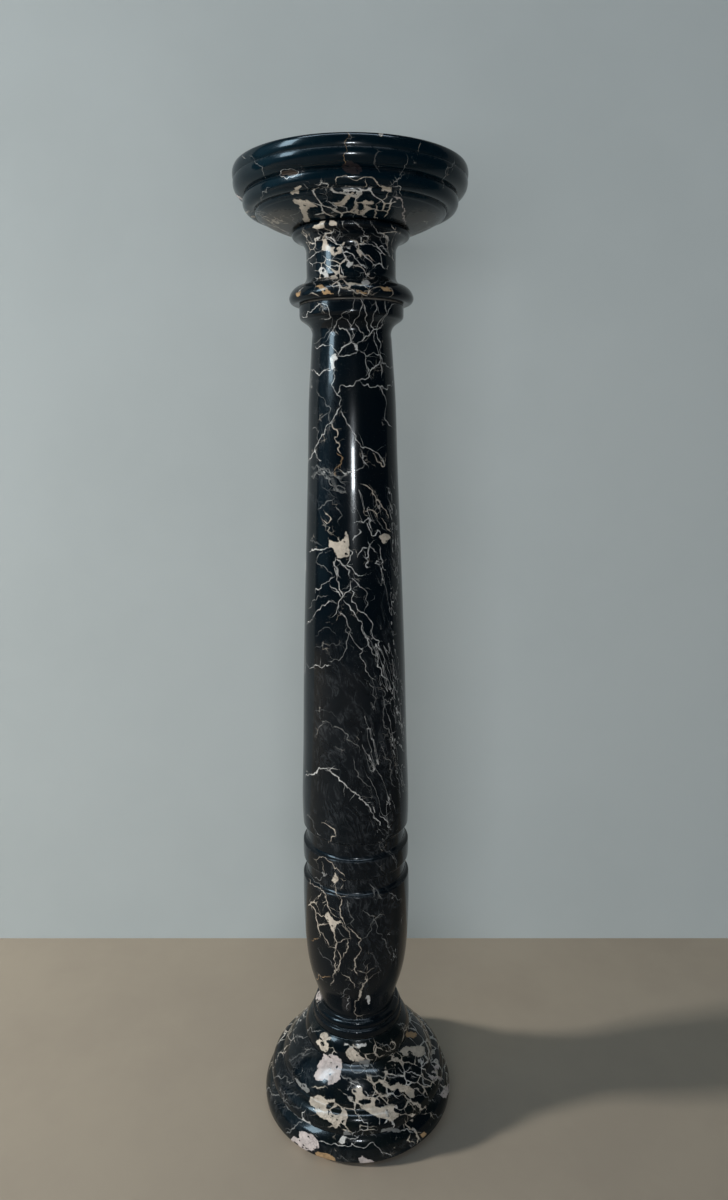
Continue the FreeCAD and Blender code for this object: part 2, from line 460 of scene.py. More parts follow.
    def put(self, name, values, elsewhere=0.0):
        """A vertex attribute, with one value for everything that isn't the smooth outside."""
        wide = values.ndim == 2
        full = np.full((len(self.stone.outer), 3 if wide else 1), elsewhere, np.float32)
        full[self.known] = values.reshape(len(self.known), -1)
        kind, key = ("FLOAT_VECTOR", "vector") if wide else ("FLOAT", "value")
        attribute = self.stone.object.data.attributes.new(name, kind, "POINT")
        attribute.data.foreach_set(key, full.ravel())

    def store(self, **masks):
        """Writes everything to the mesh; the masks are given by their spots."""
        for group in range(CHANNELS // 3):
            self.put("veins_%d" % group, self.field[3 * group : 3 * group + 3].T, FIELD_LIMIT)
        self.put("vein_tone", self.tone)
        self.put("patch_tone", self.patch_tone)
        self.put("patch", np.clip(self.patch, -PATCH_REACH, PATCH_REACH), -PATCH_REACH)
        self.put("close", np.clip(1 - self.tone_best / CLOSE_BY, 0, 1))
        for name, spots in masks.items():
            self.put(name, self.soft(spots))
        arris, hollow = wear_masks(self.stone, self.known)
        self.put("arris", arris)
        self.put("hollow", hollow)


GRID = 0.25            # mm, the steps in which a section's bends are measured


def wear_masks(stone, known):
    """How much each place is an arris, where polish wears, or a hollow, where dust stays."""
    down = stone.row_down
    grid = np.arange(down[0], down[-1], GRID)
    angle = np.unwrap(np.arctan2(stone.row_normal[:, 1], stone.row_normal[:, 0]))
    bend = np.gradient(np.interp(grid, down, angle), grid)

    def blur(values, reach):
        count = int(reach / GRID)
        window = np.hanning(2 * count + 3)
        return np.convolve(np.pad(values, count + 1, mode="edge"), window / window.sum(), "valid")

    convex = blur(np.clip(-bend, 0, 3), 1.6)
    concave = blur(np.clip(bend, 0, 3), 3.0)
    at = stone.down[known]
    arris = np.clip((np.interp(at, grid, convex) - 0.10) * 2.6, 0, 1)
    hollow = np.clip((np.interp(at, grid, concave) - 0.08) * 2.4, 0, 1)
    return arris, hollow


# ------------------------------------------- the veins that show from the front
# Each vein is (tone, half width mm, (azimuth, down, azimuth, down, ...)).
# Each patch is (tone, (azimuth, down, ...)). An eye is (azimuth, down, half azimuth,
# half down), and a ring is (tone, half width mm) followed by the same four.

SHAFT_VEINS = (
    ("w", 0.6, (25, 0, 28, 8, 26, 18, 31, 28, 32, 40, 40, 54)),
    ("w", 0.6, (38, 0, 40, 12, 38, 22, 38, 36, 41, 48, 42, 60, 42, 72)),
    ("w", 0.6, (53, 2, 46, 6, 41, 14, 42, 22, 47, 25)),
    ("w", 0.7, (12, 4, 16, 16, 21, 24, 26, 34)),
    ("w", 0.6, (-70, 9, -47, 9, -37, 3, -27, 4, -24, 12, -29, 19, -39, 18)),
    ("w", 0.6, (-13, 18, -4, 24, 0, 30, 1, 39)),
    ("w", 0.5, (4, 24, 10, 30, 17, 37)),
    ("w", 0.8, (-18, 26, -10, 30, -3, 35, 1, 41)),
    ("w", 0.6, (2, 26, 8, 17, 10, 8, 8, 0)),
    ("w", 0.6, (-39, 40, -32, 33, -22, 26, -10, 17, 2, 8, 4, 0)),
    ("g", 0.5, (-68, 40, -49, 37, -39, 33, -28, 28)),
    ("w", 0.8, (7, 43, 17, 38, 28, 33, 40, 29, 47, 24)),
    ("w", 0.6, (-64, 43, -43, 42, -30, 43, -24, 47, -20, 50)),
    ("w", 0.6, (8, 49, 18, 53, 30, 50, 42, 53, 48, 60, 61, 63, 77, 61)),
    ("w", 0.9, (-19, 53, -10, 45, 0, 41, 7, 43)),
    ("w", 0.6, (-19, 53, -8, 53, 2, 52, 8, 49)),
    ("w", 0.6, (18, 53, 19, 62, 21, 70, 25, 74)),
    ("w", 0.8, (-78, 64, -59, 66, -52, 69, -40, 66, -30, 67, -27, 64, -23, 66)),
    ("w", 0.8, (-24, 66, -23, 74, -24, 84, -20, 88, -14, 93, -15, 99)),
    ("w", 0.7, (10, 76, 14, 80, 26, 82, 34, 80, 42, 80, 60, 79, 72, 74)),
    ("w", 0.6, (36, 81, 42, 86, 48, 92, 48, 100, 45, 110, 52, 116, 60, 118)),
    ("g", 0.6, (-53, 84, -40, 90, -36, 98, -27, 100, -31, 109, -24, 114)),
    ("w", 0.9, (-19, 88, -16, 81, -10, 80, 0, 81, 8, 76, 17, 75, 22, 73, 26, 66, 34, 62, 47, 60)),
    ("w", 0.8, (-15, 99, -25, 111, -37, 124, -49, 133, -65, 147, -78, 152)),
    ("w", 0.6, (-14, 102, -8, 112, 0, 122, 7, 132, 13, 138, 22, 138, 32, 142, 42, 154)),
    ("c", 1.0, (-24, 112, -20, 120, -23, 128, -17, 132, -19, 138, -15, 142)),
    ("g", 0.6, (-64, 120, -57, 118, -48, 121, -47, 132, -52, 144, -43, 149)),
    ("g", 0.6, (9, 138, 12, 148, 15, 154)),
    ("w", 0.8, (11, 142, 12, 148, 14, 150, 19, 154)),
    ("t", 1.2, (-19, 142, -15, 144, -12, 146, -15, 149, -13, 151, -18, 156)),
    ("c", 1.1, (26, 142, 30, 147, 34, 151, 39, 155, 44, 154, 41, 150, 36, 147)),
    ("w", 0.9, (-52, 146, -49, 147, -43, 150)),
    ("g", 0.8, (-50, 154, -39, 157, -29, 160, -21, 164, -14, 166)),
    ("f", 2.6, (-64, 156, -50, 154, -39, 157, -29, 160, -21, 163, -15, 165, -8, 162, -3, 160)),
    ("w", 1.1, (-18, 156, -13, 159, -7, 160, -2, 159, 5, 158, 10, 156, 13, 154)),
    ("w", 0.8, (-37, 159, -31, 158)),
    ("g", 0.8, (-18, 164, -15, 169, -10, 171)),
    ("f", 3.2, (-64, 165, -52, 161, -41, 161, -30, 166, -22, 172, -15, 178, -8, 179)),
    ("g", 0.9, (-64, 165, -50, 161, -38, 162, -30, 167, -22, 173, -15, 179, -8, 179)),
    ("c", 1.0, (11, 171, 16, 172, 20, 175, 24, 177, 27, 182, 29, 187, 32, 186, 34, 190, 39, 195,
                44, 201, 47, 206)),
    ("g", 0.8, (44, 172, 50, 178, 47, 186, 52, 192, 50, 200)),
    ("f", 1.2, (-40, 174, -33, 177, -28, 175)),
    ("g", 0.8, (-30, 176, -22, 177, -16, 172, -10, 176, -8, 179)),
    ("c", 0.8, (28, 187, 29, 192, 33, 195)),
    ("g", 0.8, (-21, 192, -16, 196, -13, 201, -17, 204, -18, 208)),
    ("c", 0.9, (13, 194, 15, 197, 19, 195, 24, 196, 29, 200, 30, 204)),
    ("c", 0.7, (13, 194, 12, 196, 14, 200, 19, 201)),
    ("g", 0.9, (-46, 195, -41, 192, -35, 189, -30, 187, -24, 185)),
    ("c", 1.0, (-37, 197, -31, 201, -26, 204, -29, 207, -33, 209, -37, 206, -40, 205)),
    ("g", 0.8, (27, 202, 33, 210, 38, 215, 43, 217)),
    ("c", 0.9, (36, 204, 42, 210, 47, 216, 51, 219)),
    ("w", 0.9, (2, 207, 5, 206, 11, 208, 14, 205, 18, 202, 21, 205, 24, 207)),
    ("w", 0.9, (15, 207, 19, 214, 21, 221, 27, 220, 29, 215, 31, 216, 36, 221)),
    ("c", 0.8, (-33, 211, -28, 212, -32, 215, -29, 218, -27, 219)),
    ("w", 1.0, (0, 225, 2, 220, 8, 217, 10, 215, 7, 214)),
    ("w", 1.0, (17, 225, 19, 230, 21, 232, 27, 237)),
    ("w", 1.2, (23, 226, 19, 230, 17, 236, 15, 242, 12, 240)),
    ("f", 1.6, (-64, 227, -52, 229, -41, 231)),
    ("w", 1.0, (31, 230, 32, 236, 34, 244, 36, 247, 32, 249, 28, 248, 25, 247, 27, 245, 32, 246)),
    ("w", 0.9, (-5, 232, -4, 242, -7, 247, -10, 249)),
    ("w", 0.9, (5, 239, 10, 232, 17, 232)),
    ("w", 1.4, (-64, 239, -52, 235, -41, 235, -31, 232)),
    ("w", 1.0, (14, 242, 17, 246, 14, 250, 17, 251)),
    ("g", 0.9, (50, 242, 54, 249, 59, 256)),
    ("w", 2.2, (-21, 242, -22, 250, -19, 256, -16, 260)),
    ("w", 1.1, (-21, 243, -16, 244, -10, 249, -7, 252, -5, 259)),
    ("g", 0.9, (-49, 247, -44, 249, -35, 251, -31, 256, -25, 259)),
    ("g", 0.8, (-49, 247, -45, 240, -39, 236)),
    ("w", 0.8, (-10, 249, -4, 249, 1, 255, 5, 259, 13, 257)),
    ("w", 0.9, (-24, 250, -21, 256, -19, 260, -17, 270, -13, 279)),
    ("w", 0.6, (-3, 260, 3, 264, 12, 272, 13, 282, 12, 292)),
    ("w", 0.9, (-4, 264, -8, 274, -14, 281, -19, 292)),
    ("w", 0.8, (-28, 268, -20, 272, -15, 280, -10, 279)),
    ("w", 0.7, (-3, 272, -3, 284, 3, 290, 12, 296, 16, 300, 21, 308, 28, 324, 33, 338, 36, 352)),
    ("w", 0.7, (-50, 277, -40, 269, -29, 265, -23, 260)),
    ("w", 1.0, (-12, 282, -4, 290, 2, 298, 8, 310, 15, 324, 22, 338, 28, 352, 32, 362, 38, 368)),
    ("w", 0.5, (-19, 292, -12, 297, -7, 308, 0, 324, 7, 342, 15, 356, 22, 364)),
    ("g", 0.6, (-66, 298, -50, 286, -37, 280, -30, 279)),
    ("g", 0.7, (9, 306, 17, 322, 22, 332, 27, 348)),
    ("g", 0.7, (-8, 310, -9, 324, -10, 334, -14, 340, -23, 343, -28, 345)),
    ("w", 0.7, (-70, 314, -59, 308, -49, 298, -38, 289, -29, 284, -24, 285)),
    ("f", 0.6, (-48, 322, -38, 313, -28, 311, -20, 318)),
    ("f", 0.6, (-49, 334, -37, 329, -23, 326, -13, 322)),
    ("g", 0.8, (40, 348, 46, 352, 51, 368, 56, 374)),
    ("w", 0.7, (-71, 356, -53, 356, -40, 353, -27, 349)),
    ("g", 0.6, (14, 364, 20, 380, 23, 398)),
    ("g", 0.9, (27, 374, 33, 388, 32, 400, 37, 418, 41, 430, 50, 424)),
    ("g", 0.5, (33, 388, 41, 392, 47, 406, 50, 420)),
    ("f", 0.6, (-49, 402, -29, 398, -20, 402)),
    ("g", 0.7, (-24, 414, -13, 415, -7, 420, 0, 430, 5, 437)),
    ("g", 0.7, (41, 430, 48, 444, 53, 468, 60, 486, 66, 494)),
    ("g", 0.6, (-49, 430, -45, 420, -37, 409, -28, 409, -24, 414)),
    ("g", 0.7, (28, 432, 33, 448, 39, 462, 47, 484)),
    ("g", 0.5, (-22, 433, -10, 438)),
    ("g", 0.7, (-2, 446, 3, 460, 10, 472, 17, 482)),
    ("g", 0.6, (11, 446, 21, 455, 28, 452)),
    ("w", 1.3, (-68, 480, -53, 472, -42, 460, -33, 459, -23, 464, -13, 471, -3, 481, 7, 490, 15, 500,
                22, 514, 27, 522)),
    ("w", 0.7, (26, 506, 34, 518, 40, 530)),
    ("c", 1.0, (-37, 520, -28, 522, -22, 526, -22, 532, -27, 538, -32, 544)),
    ("f", 1.0, (27, 524, 34, 540, 42, 558, 48, 578)),
    ("g", 0.6, (-65, 524, -54, 522, -48, 532, -40, 535)),
    ("g", 1.0, (39, 558, 43, 567, 48, 577)),
    ("f", 1.0, (20, 564, 26, 572, 31, 579)),
    ("c", 0.8, (-38, 569, -37, 577, -36, 582)),
    ("c", 0.9, (-51, 570, -46, 569, -40, 564, -35, 562, -30, 565, -25, 567, -23, 572, -21, 570,
                -18, 574, -15, 576, -12, 579)),
    ("c", 0.7, (-18, 584, -15, 589, -12, 587)),
    ("g", 0.9, (-41, 590, -44, 594, -47, 597, -57, 597)),
    ("g", 1.3, (15, 592, 19, 597, 20, 604, 18, 606)),
    ("c", 0.8, (-15, 593, -18, 598)),
    ("c", 0.8, (-25, 593, -24, 600, -22, 605, -17, 606, -11, 605)),
    ("g", 0.9, (20, 599, 26, 610, 28, 612)),
    ("g", 0.8, (-60, 600, -50, 601, -41, 601, -39, 605)),
    ("c", 0.9, (-64, 604, -57, 606, -50, 605, -43, 604, -37, 606, -33, 608, -33, 614, -32, 620,
                -29, 624, -27, 627)),
    ("c", 1.2, (-17, 607, -15, 610, -17, 616, -17, 624, -17, 630, -14, 633, -12, 639, -9, 645, -7, 649,
                -6, 655)),
    ("g", 0.7, (36, 607, 42, 613, 47, 619, 56, 624)),
    ("c", 0.9, (-40, 609, -42, 613, -45, 618)),
    ("g", 0.8, (-10, 609, -10, 614, -9, 620, -7, 626, -3, 630, -5, 634, -7, 637, -2, 642)),
    ("g", 0.8, (6, 620, 12, 626, 18, 634, 22, 642, 27, 653, 32, 664, 36, 674, 40, 685)),
    ("c", 1.5, (-60, 632, -53, 631, -49, 633, -48, 640, -46, 647, -45, 654, -42, 661)),
    ("c", 0.9, (-19, 635, -15, 635, -14, 638, -10, 642, -7, 646)),
    ("c", 1.2, (-64, 636, -59, 632, -55, 627, -50, 624, -46, 622)),
    ("c", 1.0, (-48, 636, -42, 636, -37, 634, -34, 630)),
    ("c", 1.2, (-10, 639, -7, 643, -3, 647, 0, 651, 4, 654, 2, 659, 3, 664, 5, 667, 3, 673, 0, 676,
                -2, 679, -2, 683, -1, 689, 0, 699)),
    ("g", 0.8, (-22, 642, -18, 647, -14, 653, -11, 654)),
    ("c", 1.3, (-45, 650, -40, 647, -35, 644, -32, 642)),
    ("c", 1.2, (-24, 651, -22, 659, -22, 664, -23, 669, -27, 669, -30, 670)),
    ("g", 0.8, (7, 654, 11, 653, 14, 647, 15, 642, 17, 636, 20, 633, 29, 632)),
    ("c", 1.1, (-43, 656, -38, 656, -35, 662, -32, 663, -30, 669)),
    ("c", 1.0, (-10, 656, -10, 663, -14, 673, -15, 679)),
    ("g", 0.8, (-1, 660, 3, 662)),
    ("c", 0.8, (-21, 661, -15, 657, -11, 655, -7, 654)),
    ("c", 1.1, (-23, 670, -20, 673, -17, 680, -18, 687, -21, 693, -24, 697, -28, 709, -32, 720)),
    ("c", 0.8, (-23, 670, -25, 676, -26, 684, -25, 692, -22, 697, -24, 704)),
    ("f", 1.2, (12, 672, 18, 677, 24, 689, 27, 697)),
    ("t", 0.9, (-60, 676, -53, 670, -46, 666)),
    ("g", 0.8, (9, 682, 9, 689)),
    ("g", 0.8, (-44, 683, -40, 687, -34, 686, -30, 687, -28, 693)),
    ("c", 0.8, (1, 694, 6, 697, 10, 699, 17, 694)),
    ("c", 0.8, (-17, 700, -8, 706, -3, 712, -3, 718)),
    ("c", 1.2, (10, 700, 11, 710, 6, 718, 3, 724)),
    ("c", 0.9, (9, 702, 11, 710, 6, 718, 3, 728, 2, 738, -3, 746, -3, 756, 0, 764, 8, 763)),
    ("t", 0.8, (-65, 732, -53, 722, -40, 712, -32, 708)),
    ("g", 0.6, (-20, 736, -15, 724, -7, 722)),
    ("w", 0.6, (-15, 756, -13, 740, -10, 732)),
)
SHAFT_PATCHES = (
    ("w", (-31, 55, -27, 52, -20, 52, -20, 56, -25, 59, -23, 65, -27, 66, -29, 60)),
    ("w", (2, 41, 9, 44, 8, 49, 4, 48)),
    ("c", (-31, 222, -28, 225, -23, 226, -15, 225, -11, 222, -10, 215, -7, 217, -5, 222, -5, 232,
           -7, 240, -15, 241, -19, 243, -21, 236, -25, 232, -30, 231)),
    ("c", (-19, 221, -17, 220, -16, 223, -18, 224)),
    ("c", (31, 221, 36, 220, 43, 220, 48, 221, 50, 224, 44, 226, 38, 229, 34, 225)),
    ("g", (-38, 580, -32, 580, -35, 586, -40, 590, -41, 585)),
    ("c", (-23, 574, -21, 580, -18, 580, -20, 586, -21, 590, -24, 593, -27, 592, -29, 590, -27, 587,
           -25, 583, -23, 579)),
    ("c", (-35, 634, -32, 628, -30, 626, -27, 632, -24, 635, -18, 635, -15, 634, -18, 638, -21, 640,
           -22, 643, -24, 649, -24, 653, -26, 650, -28, 647, -30, 642, -32, 639)),
    ("w", (12, 730, 15, 732, 17, 746, 15, 748, 13, 740)),
    ("c", (2, 722, 6, 720, 5, 730, 1, 734)),
)
CAPITAL_VEINS = (
    ("c", 0.8, (-25, 5, -22, 11, -24, 15, -30, 16, -34, 18, -36, 22)),
    ("w", 0.6, (-80, 32, -67, 32, -54, 31, -46, 29, -39, 28)),
    ("g", 0.6, (-51, 5, -54, 17, -50, 23, -44, 27)),
    ("g", 0.5, (-11, 2, -12, 11, -17, 20, -21, 21)),
    ("g", 0.5, (-19, 22, -10, 19, -5, 17)),
    ("w", 0.6, (1, 2, 7, 5, 10, 8, 15, 14, 19, 18, 20, 22)),
    ("c", 0.7, (7, 23, 10, 25, 15, 22, 20, 22)),
    ("c", 0.8, (0, 21, 7, 23, 9, 29, 6, 31, 14, 34, 22, 34, 26, 37, 31, 39)),
    ("w", 0.6, (20, 22, 29, 26, 35, 27, 45, 26, 52, 29, 61, 32)),
    ("w", 0.5, (20, 4, 27, 11, 36, 13, 46, 17, 52, 19, 46, 22)),
    ("g", 0.5, (22, 15, 30, 17, 40, 22, 46, 22)),
    ("w", 0.8, (-11, 32, -3, 32, 4, 35, 9, 40, 15, 42, 20, 45)),
    ("g", 0.6, (-26, 43, -24, 37, -20, 34, -12, 33)),
    ("w", 0.8, (-30, 47, -21, 43, -14, 43, -10, 49, -9, 53)),
    ("w", 0.7, (-49, 51, -41, 57, -37, 66)),
    ("w", 0.6, (-25, 54, -19, 58, -15, 66)),
    ("g", 0.6, (7, 54, 12, 49, 20, 45)),
    ("w", 0.7, (13, 63, 15, 58, 19, 52, 22, 47)),
    ("g", 0.6, (22, 67, 29, 61, 35, 53)),
    ("w", 0.6, (31, 67, 40, 62, 50, 53)),
    ("c", 0.9, (-12, 72, -9, 71, -3, 72, 0, 75, 7, 76, 15, 77, 20, 72, 24, 71)),
    ("c", 0.7, (20, 72, 30, 72, 38, 71, 36, 79)),
    ("w", 0.9, (-15, 65, -11, 67, -10, 72, -11, 78)),
    ("c", 0.8, (-39, 75, -34, 76, -30, 79)),
)
CAPITAL_PATCHES = (
    ("c", (-39, 5, -31, 3, -28, 0, -24, 0, -26, 6, -33, 7)),
    ("c", (-20, 0, -13, 3, -13, 6, -20, 5)),
    ("c", (-40, 26, -36, 20, -32, 17, -30, 24, -25, 27, -15, 27, -10, 24, -6, 22, -10, 27,
           -11, 31, -17, 33, -26, 32, -30, 29, -39, 29)),
    ("w", (-6, 43, -3, 38, 0, 40, 4, 39, -1, 43, -4, 46)),
    ("c", (6, 31, 9, 29, 14, 33, 12, 36)),
    ("w", (-45, 44, -40, 42, -34, 44, -30, 48, -27, 53, -32, 53, -37, 49, -42, 48)),
    ("w", (8, 68, 11, 64, 15, 62, 17, 68, 14, 70, 10, 69)),
    ("t", (-34, 69, -25, 70, -20, 73, -16, 77, -24, 78, -27, 73)),
    ("t", (-61, 71, -51, 71, -52, 75, -58, 76)),
    ("t", (2, 74, 9, 75, 14, 77, 8, 78)),
    ("t", (24, 70, 33, 70, 40, 73, 30, 74)),
)
CAPITAL_EYES = ((-37, 45.7, 2.6, 1.3), (-20, 30, 2.2, 1.6))
TOP_VEINS = (
    ("t", 0.35, (-1, -4, -1, 0, -2, 11, -3, 20, -4, 29)),
    ("g", 0.5, (-52, 6, -48, 13, -43, 19, -45, 25, -47, 30)),
    ("g", 0.4, (-60, 0, -54, 8)),
    ("c", 0.4, (32, 4, 31, 10)),
    ("g", 0.4, (25, 16, 25, 24, 26, 31, 24, 36)),
    ("g", 0.5, (55, 8, 56, 11, 53, 16, 49, 19, 51, 24, 55, 31, 53, 36)),
    ("f", 0.8, (13, 16, 14, 34)),
    ("w", 0.5, (-23, 42, -22, 46, -24, 52)),
    ("w", 0.6, (-17, 43, -14, 40, -11, 43, -13, 52)),
    ("w", 0.7, (-9, 46, -11, 52)),
    ("c", 0.7, (-7, 43, -6, 38, -2, 37, 2, 41, 7, 38, 12, 41, 15, 46, 19, 52)),
    ("c", 0.7, (7, 40, 8, 46, 7, 53)),
    ("w", 0.5, (21, 44, 27, 48, 29, 54)),
    ("g", 0.5, (-60, 50, -52, 44, -44, 39)),
    ("w", 0.8, (-14, 64, -10, 71, -3, 79, -1, 81)),
    ("w", 0.7, (-14, 64, -11, 74, -13, 79)),
    ("c", 0.9, (11, 68, 10, 74, 8, 79)),
    ("c", 1.0, (17, 69, 18, 77, 20, 83, 25, 89)),
    ("c", 1.0, (21, 53, 21, 59, 17, 67)),
    ("p", 1.3, (25, 57, 33, 61, 38, 68, 42, 76, 51, 83, 60, 89)),
    ("g", 0.7, (20, 70, 31, 68, 35, 67)),
    ("w", 0.5, (-37, 31, -34, 26, -29, 26, -27, 28, -25, 33, -29, 35, -35, 33, -37, 31)),
    ("g", 0.7, (-60, 88, -52, 80, -44, 74, -37, 70)),
    ("g", 0.6, (4, 62, 5, 72, 3, 84, 2, 89)),
)
TOP_PATCHES = (
    # a painted reflection: the faint reddish-dark patch at the front of the ovolo
    ("s", (0, 23, 3, 26, 6, 35, -3, 35, -4, 29, -2, 24)),
    ("b", (-36, 31, -34, 27, -29, 27, -27, 29, -26, 33, -29, 34, -35, 32)),
    ("c", (12, -2, 14, -2, 14, 3, 13, 5, 12, 2)),
    ("c", (-35, 52, -33, 47, -27, 43, -24, 41, -27, 46, -29, 52)),
    ("f", (-9, 48, 6, 47, 6, 51, -9, 51)),
    ("c", (15, 44, 21, 45, 23, 53, 17, 53)),
    ("c", (-36, 58, -31, 57, -26, 61, -21, 70, -28, 69, -32, 73, -36, 80, -42, 89, -47, 89,
           -40, 80, -36, 70)),
    ("c", (2, 55, 0, 61, -3, 68, -8, 72, -11, 67, -5, 63, -2, 57)),
    ("c", (7, 66, 9, 63, 14, 64, 15, 68, 8, 68)),
)
BASE_VEINS = (
    ("c", 1.0, (20, 2, 21, 7, 18, 11, 18, 15, 21, 19, 27, 22)),
    ("g", 0.9, (14, 1, 16, 5)),
    ("g", 0.8, (23, 6, 31, 12, 36, 15, 37, 21)),
    ("c", 1.1, (38, 14, 43, 14, 45, 18, 43, 21, 38, 20)),
    ("g", 1.2, (60, 3, 65, 7, 70, 11)),
    ("g", 0.9, (51, 20, 49, 28, 53, 40)),
    ("g", 1.0, (-17, 39, -7, 41, 0, 44, 2, 47)),
    ("g", 1.1, (0, 24, 4, 30, 8, 35, 11, 39, 19, 41, 25, 43, 32, 48, 38, 49)),
    ("g", 0.9, (12, 22, 12, 27, 15, 35, 17, 40)),
    ("c", 0.9, (12, 40, 12, 45, 13, 52, 15, 57, 10, 57)),
    ("c", 0.9, (15, 57, 21, 60, 22, 64, 22, 67, 21, 71)),
    ("w", 1.1, (39, 43, 43, 49, 47, 53, 51, 57, 53, 61, 57, 69, 54, 75, 57, 83)),
    ("w", 1.0, (26, 60, 28, 65, 30, 69)),
    ("c", 1.8, (35, 68, 36, 73, 39, 82, 43, 88, 47, 93, 49, 100)),
    ("c", 1.1, (27, 83, 30, 85, 34, 89, 38, 93)),
    ("g", 0.9, (43, 77, 49, 80, 52, 87, 53, 93, 57, 100, 58, 105)),
    ("p", 2.8, (65, 82, 70, 89, 73, 97, 77, 103)),
    ("c", 2.0, (30, 92, 31, 100, 34, 107, 36, 112, 37, 120, 36, 126)),
    ("c", 0.9, (32, 111, 29, 115, 31, 119, 34, 123)),
    ("w", 0.8, (26, 104, 32, 109, 34, 111)),
    ("w", 1.0, (-2, 92, -2, 100, 0, 101, -2, 103, -7, 102)),
    ("g", 0.8, (3, 92, 2, 97, 5, 100)),
    ("g", 0.8, (7, 92, 9, 97, 7, 99, 11, 102)),
    ("w", 0.5, (0, 91, 2, 89, 6, 88, 6, 84, 3, 82, 2, 79, 0, 74)),
    ("w", 1.2, (-36, 85, -38, 88, -37, 93)),
    ("g", 1.0, (-37, 100, -40, 103, -41, 111, -43, 117, -47, 124)),
    # partly a vein and partly a painted highlight: this light line follows a highlight across the base's
    # front
    ("w", 0.5, (-25, 111, -16, 111, -13, 109, -8, 109, 0, 110, 10, 110, 11, 112, 15, 119, 19, 126)),
    ("g", 0.6, (-10, 120, -5, 127)),
    ("g", 0.8, (-85, 41, -75, 25, -60, 11, -51, 4)),
    ("f", 1.0, (-70, 60, -65, 50, -60, 41, -52, 32)),
    ("g", 0.8, (-81, 102, -72, 87, -65, 75, -56, 70)),
    ("g", 0.8, (-85, 126, -77, 112, -66, 104, -50, 100, -35, 99)),
    ("f", 1.2, (-60, 86, -50, 78, -44, 74)),
    ("f", 0.9, (-58, 94, -46, 88, -40, 80)),
    ("c", 1.0, (-37, 60, -31, 57, -25, 54)),
    ("g", 0.8, (52, 110, 57, 120, 60, 125)),
    ("g", 0.7, (-52, 28, -58, 30, -64, 36)),
)
BASE_RINGS = (
    ("g", 1.2, 0, 30, 7.5, 5.6),
)
BASE_PATCHES = (
    ("p", (-39, 24, -17, 23, -16, 38, -17, 45, -20, 48, -26, 51, -25, 48, -29, 47, -33, 51, -36, 52,
           -39, 50, -40, 40, -39, 32)),
    ("c", (-13, 13, -10, 9, -6, 8, -2, 11, 2, 13, 3, 17, 7, 19, 6, 21, 2, 23, -2, 23, -8, 21, -12, 17)),
    ("c", (-47, 4, -32, 4, -36, 7, -38, 10, -43, 10, -48, 9)),
    ("c", (-53, 19, -48, 11, -42, 10, -34, 11, -33, 17, -37, 21, -42, 22, -46, 18)),
    ("w", (-15, 5, 0, 6, 10, 4, 10, 7, 2, 9, -6, 7, -15, 7)),
    ("g", (0, 22, 9, 21, 14, 22, 12, 25, 12, 30, 8, 30, 3, 26)),
    ("g", (-7, 49, -7, 52, -12, 55, -10, 52)),
    ("c", (1, 47, 3, 49, 3, 53, 6, 59, -2, 61, -2, 55, -6, 52, -2, 50)),
    ("c", (17, 45, 21, 46, 25, 50, 27, 54, 34, 55, 38, 60, 43, 66, 45, 72, 42, 77, 40, 77, 38, 73,
           36, 66, 30, 61, 25, 56, 20, 50)),
    ("c", (48, 29, 53, 30, 60, 32, 65, 37, 70, 42, 75, 48, 77, 53, 71, 56, 65, 52, 60, 45, 55, 40,
           50, 35)),
    ("t", (65, 19, 72, 21, 77, 27, 81, 32, 84, 37, 82, 40, 75, 36, 70, 29)),
    ("g", (-57, 65, -49, 69, -40, 69, -38, 64, -43, 61, -52, 63)),
    ("c", (-37, 70, -32, 66, -27, 64, -20, 64, -16, 62, -17, 65, -22, 67, -23, 71, -21, 76, -16, 77,
           -12, 76, -11, 73, -13, 69, -10, 71, -7, 76, -7, 79, -10, 81, -11, 83, -12, 87, -15, 90,
           -16, 87, -17, 85, -23, 84, -27, 82, -31, 80, -29, 78, -33, 77, -36, 73)),
    ("c", (-2, 61, -2, 64, 1, 66, 3, 70, 7, 74, 12, 79, 17, 83, 23, 86, 26, 85, 27, 82, 24, 79,
           26, 75, 25, 71, 20, 71, 15, 71, 12, 69, 12, 64, 13, 62, 11, 59, 5, 58, 0, 59)),
    ("c", (33, 88, 37, 90, 39, 93, 35, 93)),
    ("p", (61, 72, 63, 75, 66, 82, 62, 81)),
    ("p", (66, 73, 69, 76, 70, 82, 67, 77)),
    ("p", (72, 74, 77, 79, 77, 82, 73, 82, 71, 77)),
    ("p", (63, 105, 70, 107, 77, 112, 84, 120, 80, 126, 72, 118, 66, 112)),
    ("p", (-37, 111, -35, 109, -29, 107, -26, 109, -24, 111, -23, 117, -26, 120, -27, 124, -31, 127,
           -34, 135, -44, 135, -42, 123, -40, 119, -36, 117)),
    ("t", (-25, 124, -18, 120, -13, 125, -13, 134, -25, 134)),
    ("p", (0, 121, 2, 119, 6, 124, 9, 130, 9, 135, 0, 135)),
    ("w", (-37, 92, -31, 93, -31, 100, -38, 100)),
    ("g", (-7, 89, -5, 93, -5, 99, -9, 100, -9, 93)),
    ("w", (-10, 101, -7, 101, -8, 107, -10, 109, -12, 106)),
    ("g", (14, 93, 19, 93, 22, 95, 23, 99, 27, 104, 24, 104, 19, 101, 17, 99, 14, 99)),
    ("t", (38, 117, 42, 118, 44, 124, 40, 124)),
)
BASE_EYES = (
    (0, 16, 1.6, 1.3), (-42, 14, 3.0, 2.4), (5, 63, 4.8, 2.6), (29, 51.5, 4.2, 3.2),
    (19.5, 78, 1.1, 3.8), (57.5, 40, 2.8, 3.4), (30, 61, 2.5, 2.0), (34, 115, 1.2, 1.2),
    (-39, 127, 2.0, 1.6),
)


